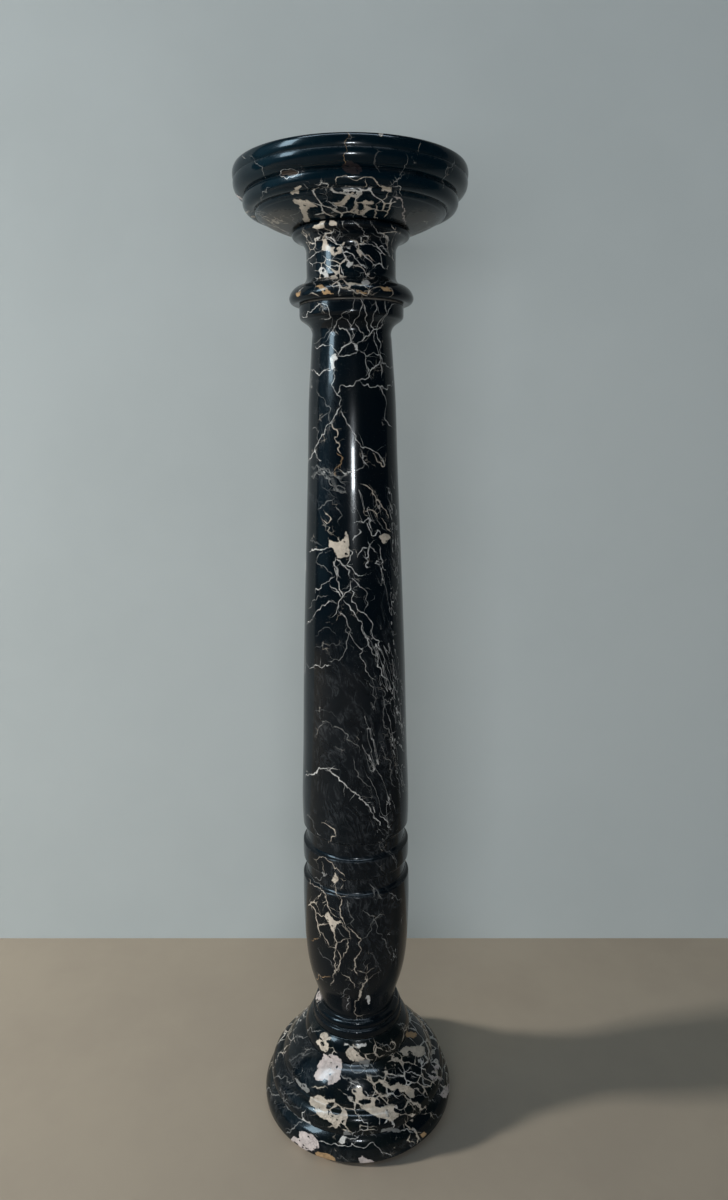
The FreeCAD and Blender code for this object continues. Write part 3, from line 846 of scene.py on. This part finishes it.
def hand_marks(marking, veins, patches, eyes=(), rings=(), twigs=0.3):
    """The listed veins, rings, patches, and dark eyes in the patches."""
    for tone, width, path in veins:
        marking.vein(tone, width, path, twigs=twigs)
    for tone, width, az, down, half_az, half_down in rings:
        marking.vein(tone, width, marking.oval(az, down, half_az, half_down), 0.05, closed=True)
    for tone, path in patches:
        marking.blot(tone, path)
    for eye in eyes:
        marking.blot("b", marking.oval(*eye), 0.06, hole=True)


WILD_STEP = 14         # mm between the bends of a seeded vein
WILD_BLOTS = 0.35      # the share of seeded veins that carry a patch


def wild_marks(marking, count, first_az, last_az, low, high, lean, length):
    """Seeded veins with twigs, some with a patch, for the sides that the photograph hides."""
    rng = marking.rng
    for _ in range(count):
        tone = rng.choice(["w", "c", "g", "g", "f"])
        az, down = rng.uniform(first_az, last_az), rng.uniform(low, high)
        heading = rng.normal(lean, 0.5)
        reach = length * rng.uniform(0.35, 1.0)
        k = marking.stone.radius_at(down) * math.pi / 180
        path = [az, down]
        for _ in range(max(2, int(reach / WILD_STEP))):
            heading += rng.normal(0, 0.32)
            az = float(np.clip(az + math.sin(heading) * WILD_STEP / k, first_az, last_az))
            down = float(np.clip(down + math.cos(heading) * WILD_STEP, low - 4, high + 4))
            path += [az, down]
        marking.vein(str(tone), float(rng.uniform(0.45, 1.0)), path, twigs=0.6)
        if rng.uniform() < WILD_BLOTS:
            size = rng.uniform(3, 7)
            blot_tone = str(rng.choice(["w", "c", "p"]))
            outline = marking.oval(path[2], path[3], size / k, size * rng.uniform(0.6, 1.2), 0.6)
            marking.blot(blot_tone, outline, 0.22)


# ------------------------------------------------------------------- materials

class Amount:
    """A number that a node gives. Arithmetic on it adds Math nodes."""

    def __init__(self, tree, socket):
        self.tree, self.socket = tree, socket

    def __add__(self, other):
        return self.tree.math("ADD", self, other)

    def __sub__(self, other):
        return self.tree.math("SUBTRACT", self, other)

    def __rsub__(self, other):
        return self.tree.math("SUBTRACT", other, self)

    def __mul__(self, other):
        return self.tree.math("MULTIPLY", self, other)

    def __pow__(self, other):
        return self.tree.math("POWER", self, other)

    def __abs__(self):
        return self.tree.math("ABSOLUTE", self)


class Tree:
    """A material's nodes, made by short calls."""

    def __init__(self, name):
        self.material = bpy.data.materials.new(name)
        self.material.use_nodes = True
        self.nodes, self.links = self.material.node_tree.nodes, self.material.node_tree.links
        self.nodes.clear()
        self.shader = self.add("BsdfPrincipled", {})
        self.add("OutputMaterial", {"Surface": self.shader.outputs[0]})
        self.place = self.add("TexCoord", {}).outputs["Object"]

    def add(self, kind, inputs, **settings):
        """A node with its settings and its inputs, each input by name or by index."""
        node = self.nodes.new("ShaderNode" + kind)
        for name, value in settings.items():
            setattr(node, name, value)
        for name, value in inputs.items():
            self.set(node.inputs[name], value)
        return node

    def set(self, socket, value):
        if isinstance(value, Amount):
            value = value.socket
        if isinstance(value, bpy.types.NodeSocket):
            self.links.new(value, socket)
        elif socket.type == "RGBA":
            socket.default_value = (*value, 1.0)
        else:
            socket.default_value = value

    def surface(self, **values):
        for name, value in values.items():
            self.set(self.shader.inputs[name.replace("_", " ")], value)

    def math(self, kind, a, b=0.0, clamp=False):
        return Amount(self, self.add("Math", {0: a, 1: b}, operation=kind, use_clamp=clamp).outputs[0])

    def vector(self, kind, a, b):
        second = "Scale" if kind == "SCALE" else 1
        return self.add("VectorMath", {0: a, second: b}, operation=kind).outputs[0]

    def range(self, value, low, high, to_low=0.0, to_high=1.0):
        inputs = {"Value": value, "From Min": low, "From Max": high, "To Min": to_low, "To Max": to_high}
        return Amount(self, self.add("MapRange", inputs, interpolation_type="SMOOTHSTEP").outputs[0])

    def under(self, value, low, high):
        """1 where the value is below low, falling to 0 at high."""
        return 1.0 - self.range(value, low, high)

    def noise_node(self, where, scale, detail, rough):
        return self.add("TexNoise", {"Vector": where, "Scale": scale, "Detail": detail, "Roughness": rough})

    def noise(self, where, scale, detail, rough):
        return Amount(self, self.noise_node(where, scale, detail, rough).outputs["Fac"])

    def offset(self, where, scale, reach):
        """A seeded wander, up to about half of reach in metres."""
        color = self.noise_node(where, scale, 3.0, 0.6).outputs["Color"]
        return self.vector("SCALE", self.vector("SUBTRACT", color, (0.5, 0.5, 0.5)), reach)

    def cells(self, where, scale, feature="DISTANCE_TO_EDGE"):
        node = self.add("TexVoronoi", {"Vector": where, "Scale": scale}, feature=feature)
        return Amount(self, node.outputs["Distance"])

    def mix(self, factor, a, b):
        return self.add("Mix", {0: factor, 6: a, 7: b}, data_type="RGBA").outputs[2]

    def attribute(self, name):
        return Amount(self, self.add("Attribute", {}, attribute_name=name).outputs["Fac"])

    def attribute_vector(self, name):
        return self.add("Attribute", {}, attribute_name=name).outputs["Vector"]

    def turned(self, where, degrees):
        """The place turned about the front-to-back axis."""
        inputs = {"Vector": where, "Angle": math.radians(degrees)}
        return self.add("VectorRotate", inputs, rotation_type="Y_AXIS").outputs[0]

    def bump(self, height, strength, distance, **normal):
        inputs = {"Height": height, "Strength": strength, "Distance": distance}
        return self.add("Bump", inputs | normal).outputs[0]


class Marble(Tree):
    """Black stone with light veins: the listed ones, and solid 3-D nets under them."""

    def __init__(self, name, dark, dark_too, shift, net_scale, net_width, net_turn, fibre_turn):
        super().__init__(name)
        self.place = self.vector("ADD", self.place, shift)
        self.net_scale, self.fibre_turn = net_scale, fibre_turn
        self.coarse = self.offset(self.place, 14.0, 0.040)
        self.fine = self.offset(self.place, 110.0, 0.0050)
        drifted = self.vector("ADD", self.place, self.coarse)
        self.bent = self.vector("ADD", drifted, self.fine)
        self.cloud = self.noise(drifted, 24.0, 4.0, 0.6)
        self.patchy = self.noise(self.place, 62.0, 3.0, 0.6)
        self.grain = self.noise(self.place, 420.0, 4.0, 0.7)
        self.mottle = self.noise(self.place, 150.0, 4.0, 0.65)
        self.rubbed = self.attribute("arris") * self.range(self.mottle, 0.42, 0.62)
        self.dusty = self.attribute("hollow") * self.range(self.patchy, 0.35, 0.70, 0.10, 1.0)
        # this mask roughens the polish and also paints a reflection: a brown-grey tint where floor and wall
        # would mirror in the plate's soffit
        self.matte = self.attribute("matte") * self.range(self.mottle, 0.25, 0.7, 1.0, 0.6)
        web = self.web(net_width, net_turn)
        veins = self.set_veins()
        patches = self.patches()
        self.paint(self.ground(dark, dark_too), web, veins, patches)
        self.polish(self.math("MAXIMUM", self.math("MAXIMUM", web, veins), patches))

    def web(self, width, turn):
        """Leopard net: light stone between dark cells, from hairlines to broad patches."""
        where = self.vector("MULTIPLY", self.turned(self.bent, turn), (0.62, 0.8, 1.25))
        edge = self.cells(where, self.net_scale) + (self.grain * 0.05 - 0.025)
        level = self.attribute("net") + ((self.cloud - 0.5) * 1.5 + (self.patchy - 0.5) * 1.6)
        broad = self.range(level, 0.30, 0.95, 0.0, 0.045) + self.range(level, 0.90, 1.5, 0.0, width)
        return self.under(edge, broad * 0.78, broad) * self.range(broad, 0.004, 0.03)

    def hairlines(self):
        """A finer net, only in places, and more of it close to the veins."""
        room = self.attribute("close") * 0.17 + self.attribute("net") * 0.06
        width = self.range(self.patchy + room, 0.62, 0.95, 0.0, 0.050)
        edge = self.cells(self.bent, self.net_scale * 2.1)
        return self.under(edge, width * 0.3, width) * self.range(width, 0.002, 0.02)

    def drawn_out(self, length, *wanders):
        """The place along the fibres, wandering a little, with its length scaled down."""
        where = self.turned(self.place, self.fibre_turn)
        for wander, share in wanders:
            where = self.vector("ADD", where, self.vector("SCALE", wander, share))
        return self.vector("MULTIPLY", where, (1.0, 1.0, length))

    def threads(self):
        """Fibres: long thin parallel veins."""
        where = self.drawn_out(0.07, (self.coarse, 0.35), (self.fine, 0.35))
        line = abs(self.noise(where, 130.0, 2.0, 0.6) * 2.0 - 1.0)
        gate = (self.noise(where, 52.0, 2.0, 0.5) - 0.5) * 2.4
        width = self.range(self.attribute("fibre") + gate, 0.45, 1.35, 0.0, 0.030)
        return self.under(line, width * 0.2, width) * self.range(width, 0.001, 0.022)

    def set_veins(self):
        """The veins set by Marking: each channel is a signed distance over the half width."""
        rag = (self.grain - 0.5) * 2.6
        girth = self.range(self.mottle, 0.32, 0.68, 0.35, 1.15)
        nearest = None
        for group in range(CHANNELS // 3):
            channels = self.add("SeparateXYZ", {0: self.attribute_vector("veins_%d" % group)}).outputs
            for channel in channels:
                off = abs(Amount(self, channel) + rag)
                nearest = off if nearest is None else self.math("MINIMUM", nearest, off)
        return self.under(nearest, girth * 0.6, girth) * self.range(self.patchy, 0.34, 0.56, 0.40, 1.0)

    def patches(self):
        """Light patches with ragged rims and dark inclusions."""
        rim = (self.noise(self.place, 300.0, 4.0, 0.7) - 0.5) * 5.0
        inside = self.range(self.attribute("patch") + rim, -0.15, 0.25)
        spots = self.under(self.cells(self.bent, 150.0, "F1"), 0.20, 0.26)
        return self.math("SUBTRACT", inside, spots * self.range(self.mottle, 0.47, 0.52), clamp=True)

    def ground(self, dark, dark_too):
        """The dark stone: two tones, smoky wisps, faint flecks."""
        ground = self.mix(self.range(self.cloud, 0.38, 0.66), dark, dark_too)
        wisp = self.noise(self.drawn_out(0.10, (self.coarse, 1.4)), 120.0, 5.0, 0.62)
        line = (1.0 - abs(wisp * 2.0 - 1.0)) ** 22.0
        smoke = self.attribute("smoke")
        haze = self.range(wisp, 0.35, 0.75, 0.0, 0.5) + self.range(self.cloud, 0.35, 0.65, 0.0, 0.5)
        ground = self.mix(smoke * haze, ground, (0.0052, 0.0080, 0.0112))
        line = line * (smoke * self.range(self.patchy, 0.38, 0.62))
        ground = self.mix(line * 0.7, ground, (0.050, 0.056, 0.062))
        fleck = self.range(self.noise(self.place, 800.0, 2.0, 0.6), 0.68, 0.80, 0.0, 0.16)
        return self.mix(fleck, ground, (0.09, 0.095, 0.09))

    def paint(self, ground, web, veins, patches):
        """The colour: light stone is mottled with darker cracks, then come wear, dust, and a painted
        brown-grey reflection on the plate's soffit.
        """
        crack = self.under(self.cells(self.bent, self.net_scale * 4.0), 0.02, 0.09)
        crack = crack * self.range(self.patchy, 0.45, 0.6)
        dirt = self.range(self.mottle, 0.35, 0.72, 1.0, 0.66) - crack * 0.30
        vein_tone = self.vector("SCALE", self.attribute_vector("vein_tone"), dirt)
        patch_tone = self.vector("SCALE", self.attribute_vector("patch_tone"), dirt)
        warm = self.mix(self.range(self.cloud, 0.42, 0.58), TONES["w"], TONES["c"])
        net_tone = self.vector("SCALE", warm, dirt * 0.9)
        color = self.mix(self.threads() * 0.7, ground, TONES["w"])
        color = self.mix(self.hairlines() * 0.45, color, net_tone)
        color = self.mix(web, color, net_tone)
        color = self.mix(veins, color, vein_tone)
        color = self.mix(patches, color, patch_tone)
        color = self.mix(self.rubbed * 0.05, color, (0.16, 0.16, 0.16))
        color = self.mix(self.dusty * 0.03, color, (0.20, 0.19, 0.175))
        # painted reflection: the soffit is tinted brown-grey as if floor and wall showed in it, most at the
        # left
        color = self.mix(self.matte * 0.6, color, (0.145, 0.125, 0.100))
        self.surface(Base_Color=color)

    def polish(self, light):
        """The gloss, with smears, and the relief: light stone lies a little lower."""
        where = self.vector("MULTIPLY", self.place, (1.0, 1.0, 0.35))
        smear = self.range(self.noise(where, 26.0, 5.0, 0.7), 0.3, 0.75)
        rough = smear * 0.08 + 0.16 + light * 0.06 + self.rubbed * 0.14 + self.matte * 0.25
        rough = self.math("ADD", rough, self.dusty * 0.20, clamp=True)
        relief = light * -0.35 + self.grain * 0.10
        normal = self.bump(self.noise(self.place, 17.0, 2.0, 0.5), 0.10, 0.0030)
        normal = self.bump(relief, 0.35, 0.00012, Normal=normal)
        self.surface(Roughness=rough, Normal=normal, IOR=1.5, Specular_IOR_Level=0.12,
                     Coat_Weight=0.15, Coat_Roughness=0.05, Coat_IOR=1.5)


def plain_stuff(name, tone, tone_too, scale, rough, rough_too, relief, metal=0.0, **constants):
    """A small procedural finish: two tones, uneven gloss, a little relief."""
    t = Tree(name)
    blotch = t.noise(t.place, scale, 4.0, 0.6)
    grain = t.noise(t.place, scale * 9.0, 3.0, 0.6)
    t.surface(Base_Color=t.mix(t.range(blotch, 0.35, 0.7), tone, tone_too), Metallic=metal,
              Roughness=t.range(blotch, 0.3, 0.7, rough, rough_too) + grain * 0.05,
              Normal=t.bump(grain, 0.4, relief), **constants)
    return t.material


def dress(node, material):
    """Puts a material on a CAD node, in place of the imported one."""
    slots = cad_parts[node].data.materials
    slots.clear()
    slots.append(material)


# ------------------------------------------------------------------ the stones

# A Stone has columns round it, and rings that many mm apart on its outside; the plate's
# top face has rings too. A Marking has a seed and a factor on the width of its veins.
# wild_marks: how many, azimuth from and to, down from and to, how far they lean off
# straight down in radians, and the longest in mm. The masks are spots for Marking.soft.

shaft = Stone("shaft", 208, 1.95)
base = Stone("base", 368, 1.5)
capital = Stone("capital", 216, 0.95)
table_top = Stone("table_top", 384, 1.5, face_step=3.0)

marks = Marking(shaft, 11, 0.62)
hand_marks(marks, SHAFT_VEINS, SHAFT_PATCHES)
wild_marks(marks, 60, 76, 284, 10, 770, 0.45, 170)
marks.store(
    net=((180, 60, 95, 70, 0.75), (150, 600, 50, 90, 0.7), (215, 330, 50, 90, 0.65),
         (-100, 650, 22, 90, 0.5), (100, 250, 25, 80, 0.5), (5, 20, 55, 26, 0.35)),
    fibre=((40, 420, 40, 150, 1.0), (52, 220, 30, 80, 1.0), (20, 190, 30, 30, 0.8),
           (180, 400, 90, 300, 0.6), (45, 690, 30, 90, 0.5), (-60, 100, 25, 60, 0.3)),
    smoke=((-40, 175, 45, 28, 1.0), (-10, 500, 60, 130, 0.8), (-10, 380, 50, 60, 0.6),
           (40, 430, 40, 140, 0.5), (10, 600, 40, 60, 0.6), (170, 300, 110, 260, 0.7),
           (30, 670, 40, 90, 0.7), (60, 290, 40, 60, 0.5), (-45, 90, 30, 50, 0.5)),
)

marks = Marking(base, 12, 0.8)
hand_marks(marks, BASE_VEINS, BASE_PATCHES, BASE_EYES, BASE_RINGS)
wild_marks(marks, 18, 95, 265, 4, 130, 1.2, 110)
marks.store(
    net=((10, 66, 46, 40, 0.62), (62, 50, 30, 40, 0.45), (180, 70, 110, 90, 0.8),
         (90, 80, 24, 70, 0.5), (0, 14, 60, 12, 0.4), (-20, 116, 30, 18, 0.4),
         (40, 110, 30, 16, 0.3)),
    fibre=((-62, 60, 26, 50, 0.5), (180, 60, 60, 50, 0.4)),
    smoke=((-60, 60, 34, 50, 0.9), (200, 60, 60, 60, 0.6), (-55, 100, 30, 20, 0.9),
           (0, 125, 60, 14, 0.6)),
)

marks = Marking(capital, 13, 0.68)
hand_marks(marks, CAPITAL_VEINS, CAPITAL_PATCHES, CAPITAL_EYES)
marks.store(
    net=((0, 28, 62, 42, 0.74), (0, 72, 70, 8, 0.35), (180, 40, 125, 70, 0.80)),
    fibre=((180, 40, 80, 40, 0.3),),
    smoke=((-60, 30, 30, 30, 0.5), (180, 40, 80, 60, 0.4)),
)

marks = Marking(table_top, 14, 0.8)
hand_marks(marks, TOP_VEINS, TOP_PATCHES, twigs=0.0)
wild_marks(marks, 16, 70, 290, 2, 52, 1.4, 90)
wild_marks(marks, 26, 0, 360, -76, -5, 0.9, 90)
marks.store(
    net=((0, 70, 40, 24, 0.85), (0, 50, 34, 8, 0.35), (180, 74, 130, 24, 0.8),
         (120, -60, 70, 50, 0.6), (230, -50, 70, 45, 0.6), (350, -58, 50, 36, 0.5),
         (180, 48, 60, 12, 0.6)),
    fibre=((150, -50, 50, 40, 0.6),),
    smoke=((0, -60, 180, 60, 0.4), (180, 20, 90, 40, 0.4), (60, 80, 25, 20, 0.5)),
    # spots for the soffit's painted brown-grey reflection, strongest at the left, which also roughen its
    # polish
    matte=((-80, 76, 42, 17, 0.9), (80, 76, 42, 17, 0.7), (180, 76, 80, 17, 0.6)),
)

BLUE_BLACK = (0.0012, 0.0035, 0.0060)
TEAL_BLACK = (0.0008, 0.0065, 0.0115)
GREEN_BLACK = (0.0050, 0.0075, 0.0070)
# stone, body, slot, then the marble: its name, two dark tones, shift, cells per metre,
# cell edge, turn of the cells, turn of the fibres
FINISHES = (
    (table_top, "top", "top_marble", "marble_top", TEAL_BLACK, (0.0012, 0.0085, 0.0140),
     (0.31, 0.17, 0.05), 62.0, 0.17, -30, 20),
    (capital, "pedestal", "capital_marble", "marble_capital", BLUE_BLACK, (0.0015, 0.0055, 0.0085),
     (0.73, 0.41, 0.22), 80.0, 0.15, -30, 20),
    (shaft, "pedestal", "shaft_marble", "marble_shaft", BLUE_BLACK, (0.0022, 0.0042, 0.0060),
     (0.05, 0.62, 0.90), 60.0, 0.12, -60, 20),
    (base, "pedestal", "base_marble", "marble_base", BLUE_BLACK, GREEN_BLACK,
     (0.44, 0.08, 0.51), 70.0, 0.28, -25, 40),
)
for stone, body, slot_name, *marble in FINISHES:
    piece = stone.object
    piece.data.materials.append(Marble(*marble).material)
    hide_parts(stone.node)
    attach(piece, body)

resin = plain_stuff("setting_resin", (0.16, 0.145, 0.12), (0.09, 0.085, 0.075), 160.0,
                    0.45, 0.75, 0.0002)
for node in ("base_bed", "capital_bed", "base_dowel_resin", "pin_resin", "bush_resin"):
    dress(node, resin)
steel = plain_stuff("steel_bar", (0.46, 0.46, 0.45), (0.30, 0.30, 0.30), 240.0, 0.22, 0.42,
                    0.00004, metal=1.0)
dress("base_dowel", steel)
dress("pivot_pin", steel)
dress("pivot_bush", plain_stuff("brass_bush", (0.62, 0.44, 0.20), (0.42, 0.29, 0.13), 220.0,
                                0.20, 0.40, 0.00004, metal=1.0))
dress("thrust_washer", plain_stuff("nylon_washer", (0.055, 0.055, 0.052), (0.03, 0.03, 0.03),
                                   180.0, 0.38, 0.6, 0.00006))
dress("floor_felt", plain_stuff("felt_disc", (0.020, 0.024, 0.021), (0.045, 0.050, 0.045),
                                420.0, 0.9, 1.0, 0.0006, Sheen_Weight=0.4))


# ----------------------------------------------------------- floor, wall, light

WALL_Y = 0.280         # metres behind the axis
WALL_SLANT = 0.0216    # how much nearer the wall comes for each metre to the right
WALL_HALF = 1.6        # metres to each side of the axis
WALL_TOP = 3.2         # metres
FLOOR_LEFT, FLOOR_FRONT, FLOOR_RIGHT, FLOOR_BACK = -2.4, -2.2, 3, 3    # metres


def stage_plane(name, corners, material):
    mesh = bpy.data.meshes.new(name)
    mesh.from_pydata(corners, [], [(0, 1, 2, 3)])
    plane = bpy.data.objects.new(name, mesh)
    bpy.context.scene.collection.objects.link(plane)
    mesh.materials.append(material)


def clear_from_behind(material):
    """Lets the camera see through the material's back, so that the object's back shows."""
    nodes, links = material.node_tree.nodes, material.node_tree.links
    clear = nodes.new("ShaderNodeBsdfTransparent")
    two_faced = nodes.new("ShaderNodeMixShader")
    side = nodes.new("ShaderNodeNewGeometry")
    surface = next(node for node in nodes if node.type == "OUTPUT_MATERIAL").inputs["Surface"]
    links.new(side.outputs["Backfacing"], two_faced.inputs[0])
    links.new(surface.links[0].from_socket, two_faced.inputs[1])
    links.new(clear.outputs[0], two_faced.inputs[2])
    links.new(two_faced.outputs[0], surface)


floor_finish = plain_stuff("pale_floor", (0.400, 0.338, 0.262), (0.372, 0.312, 0.242), 5.0,
                           0.55, 0.70, 0.0004)
wall_finish = plain_stuff("pale_wall", (0.480, 0.527, 0.530), (0.458, 0.505, 0.508), 3.0,
                          0.85, 0.95, 0.0002)
clear_from_behind(wall_finish)
stage_plane("floor", [(FLOOR_LEFT, FLOOR_FRONT, 0), (FLOOR_RIGHT, FLOOR_FRONT, 0),
                      (FLOOR_RIGHT, FLOOR_BACK, 0), (FLOOR_LEFT, FLOOR_BACK, 0)], floor_finish)
left_end, right_end = WALL_Y + WALL_HALF * WALL_SLANT, WALL_Y - WALL_HALF * WALL_SLANT
stage_plane("backdrop", [(-WALL_HALF, left_end, 0), (WALL_HALF, right_end, 0),
                         (WALL_HALF, right_end, WALL_TOP), (-WALL_HALF, left_end, WALL_TOP)],
            wall_finish)


def lamp(name, place, aim, size, strength, tint, size_y=None, glossy=True, diffuse=True):
    """An area light. Its strength is radiance: what a mirror facing it would show."""
    data = bpy.data.lights.new(name, "AREA")
    data.shape, data.size, data.size_y = "RECTANGLE", size, size_y or size
    data.energy, data.color = strength * size * (size_y or size) * math.pi, tint
    light = bpy.data.objects.new(name, data)
    bpy.context.scene.collection.objects.link(light)
    light.location = place
    light.rotation_mode = "QUATERNION"
    light.rotation_quaternion = (Vector(aim) - Vector(place)).to_track_quat("-Z", "Y")
    light.visible_glossy, light.visible_diffuse = glossy, diffuse


# The broad lights carry the stage and the light veins; black polished stone would
# show them as hard panels, so it mirrors only the small lights after them.
lamp("key_left", (-2.6, -0.25, 1.35), (0, 0, 0.3), 0.24, 385.0, (1.0, 0.985, 0.95), glossy=False)
lamp("front_fill", (-0.4, -3.0, 0.60), (0, 0.2, 0.5), 2.2, 5.7, (0.97, 0.985, 1.0), 1.2, glossy=False)
lamp("back_fill", (0.9, 2.6, 0.55), (0, 0, 0.5), 1.6, 1.9, (1.0, 0.98, 0.95), 1.0, glossy=False)
lamp("window", (-1.40, -0.85, 1.60), (0, 0, 0.8), 0.42, 26.0, (0.62, 0.85, 1.0), 1.05, diffuse=False)
lamp("by_camera", (0.012, -0.83, 0.745), (0, 0, 0.70), 0.09, 180.0, (0.88, 0.95, 1.0), 0.06, diffuse=False)
lamp("strip", (-0.1, -0.9, 2.6), (0, 0, 0.2), 2.4, 20.0, (0.66, 0.84, 1.0), 0.22, diffuse=False)
lamp("left_panel", (-2.2, -0.5, 1.2), (0, 0, 0.6), 1.4, 0.45, (0.40, 0.75, 1.0), 1.9, diffuse=False)
lamp("rear_panel", (1.8, 1.5, 1.6), (0, 0, 0.6), 1.0, 2.5, (0.35, 0.65, 1.0), 1.6, diffuse=False)

# the room: a dim blue light, while the camera itself sees a plain grey
world = bpy.data.worlds.new("room")
bpy.context.scene.world = world
world.use_nodes = True
room = world.node_tree
room.nodes["Background"].inputs["Color"].default_value = (0.25, 0.62, 0.95, 1.0)
room.nodes["Background"].inputs["Strength"].default_value = 0.05
seen = room.nodes.new("ShaderNodeBackground")
seen.inputs["Color"].default_value = (0.36, 0.39, 0.39, 1.0)
either = room.nodes.new("ShaderNodeMixShader")
path = room.nodes.new("ShaderNodeLightPath")
room.links.new(path.outputs["Is Camera Ray"], either.inputs[0])
room.links.new(room.nodes["Background"].outputs[0], either.inputs[1])
room.links.new(seen.outputs[0], either.inputs[2])
room.links.new(either.outputs[0], room.nodes["World Output"].inputs["Surface"])
bpy.context.scene.view_settings.view_transform = "Standard"


# ---------------------------------------------------------------------- camera

CAMERA_PLACE = (0.0, -0.8085, 0.7741)
YAW, PITCH, ROLL = (math.radians(a) for a in (0.74, 12.51, -0.315))

camera_data = bpy.data.cameras.new("camera")
camera_data.sensor_fit, camera_data.sensor_width = "AUTO", 36.0
camera_data.lens = 24.0
camera_data.clip_start = 0.02
camera = bpy.data.objects.new("camera", camera_data)
bpy.context.scene.collection.objects.link(camera)
forward = Vector((math.sin(YAW) * math.cos(PITCH), math.cos(YAW) * math.cos(PITCH), -math.sin(PITCH)))
level = Vector((math.cos(YAW), -math.sin(YAW), 0.0))
rise = level.cross(forward)
right = math.cos(ROLL) * level + math.sin(ROLL) * rise
up = -math.sin(ROLL) * level + math.cos(ROLL) * rise
turn = Matrix((right, up, -forward)).transposed()
camera.matrix_world = Matrix.Translation(CAMERA_PLACE) @ turn.to_4x4()
bpy.context.scene.camera = camera
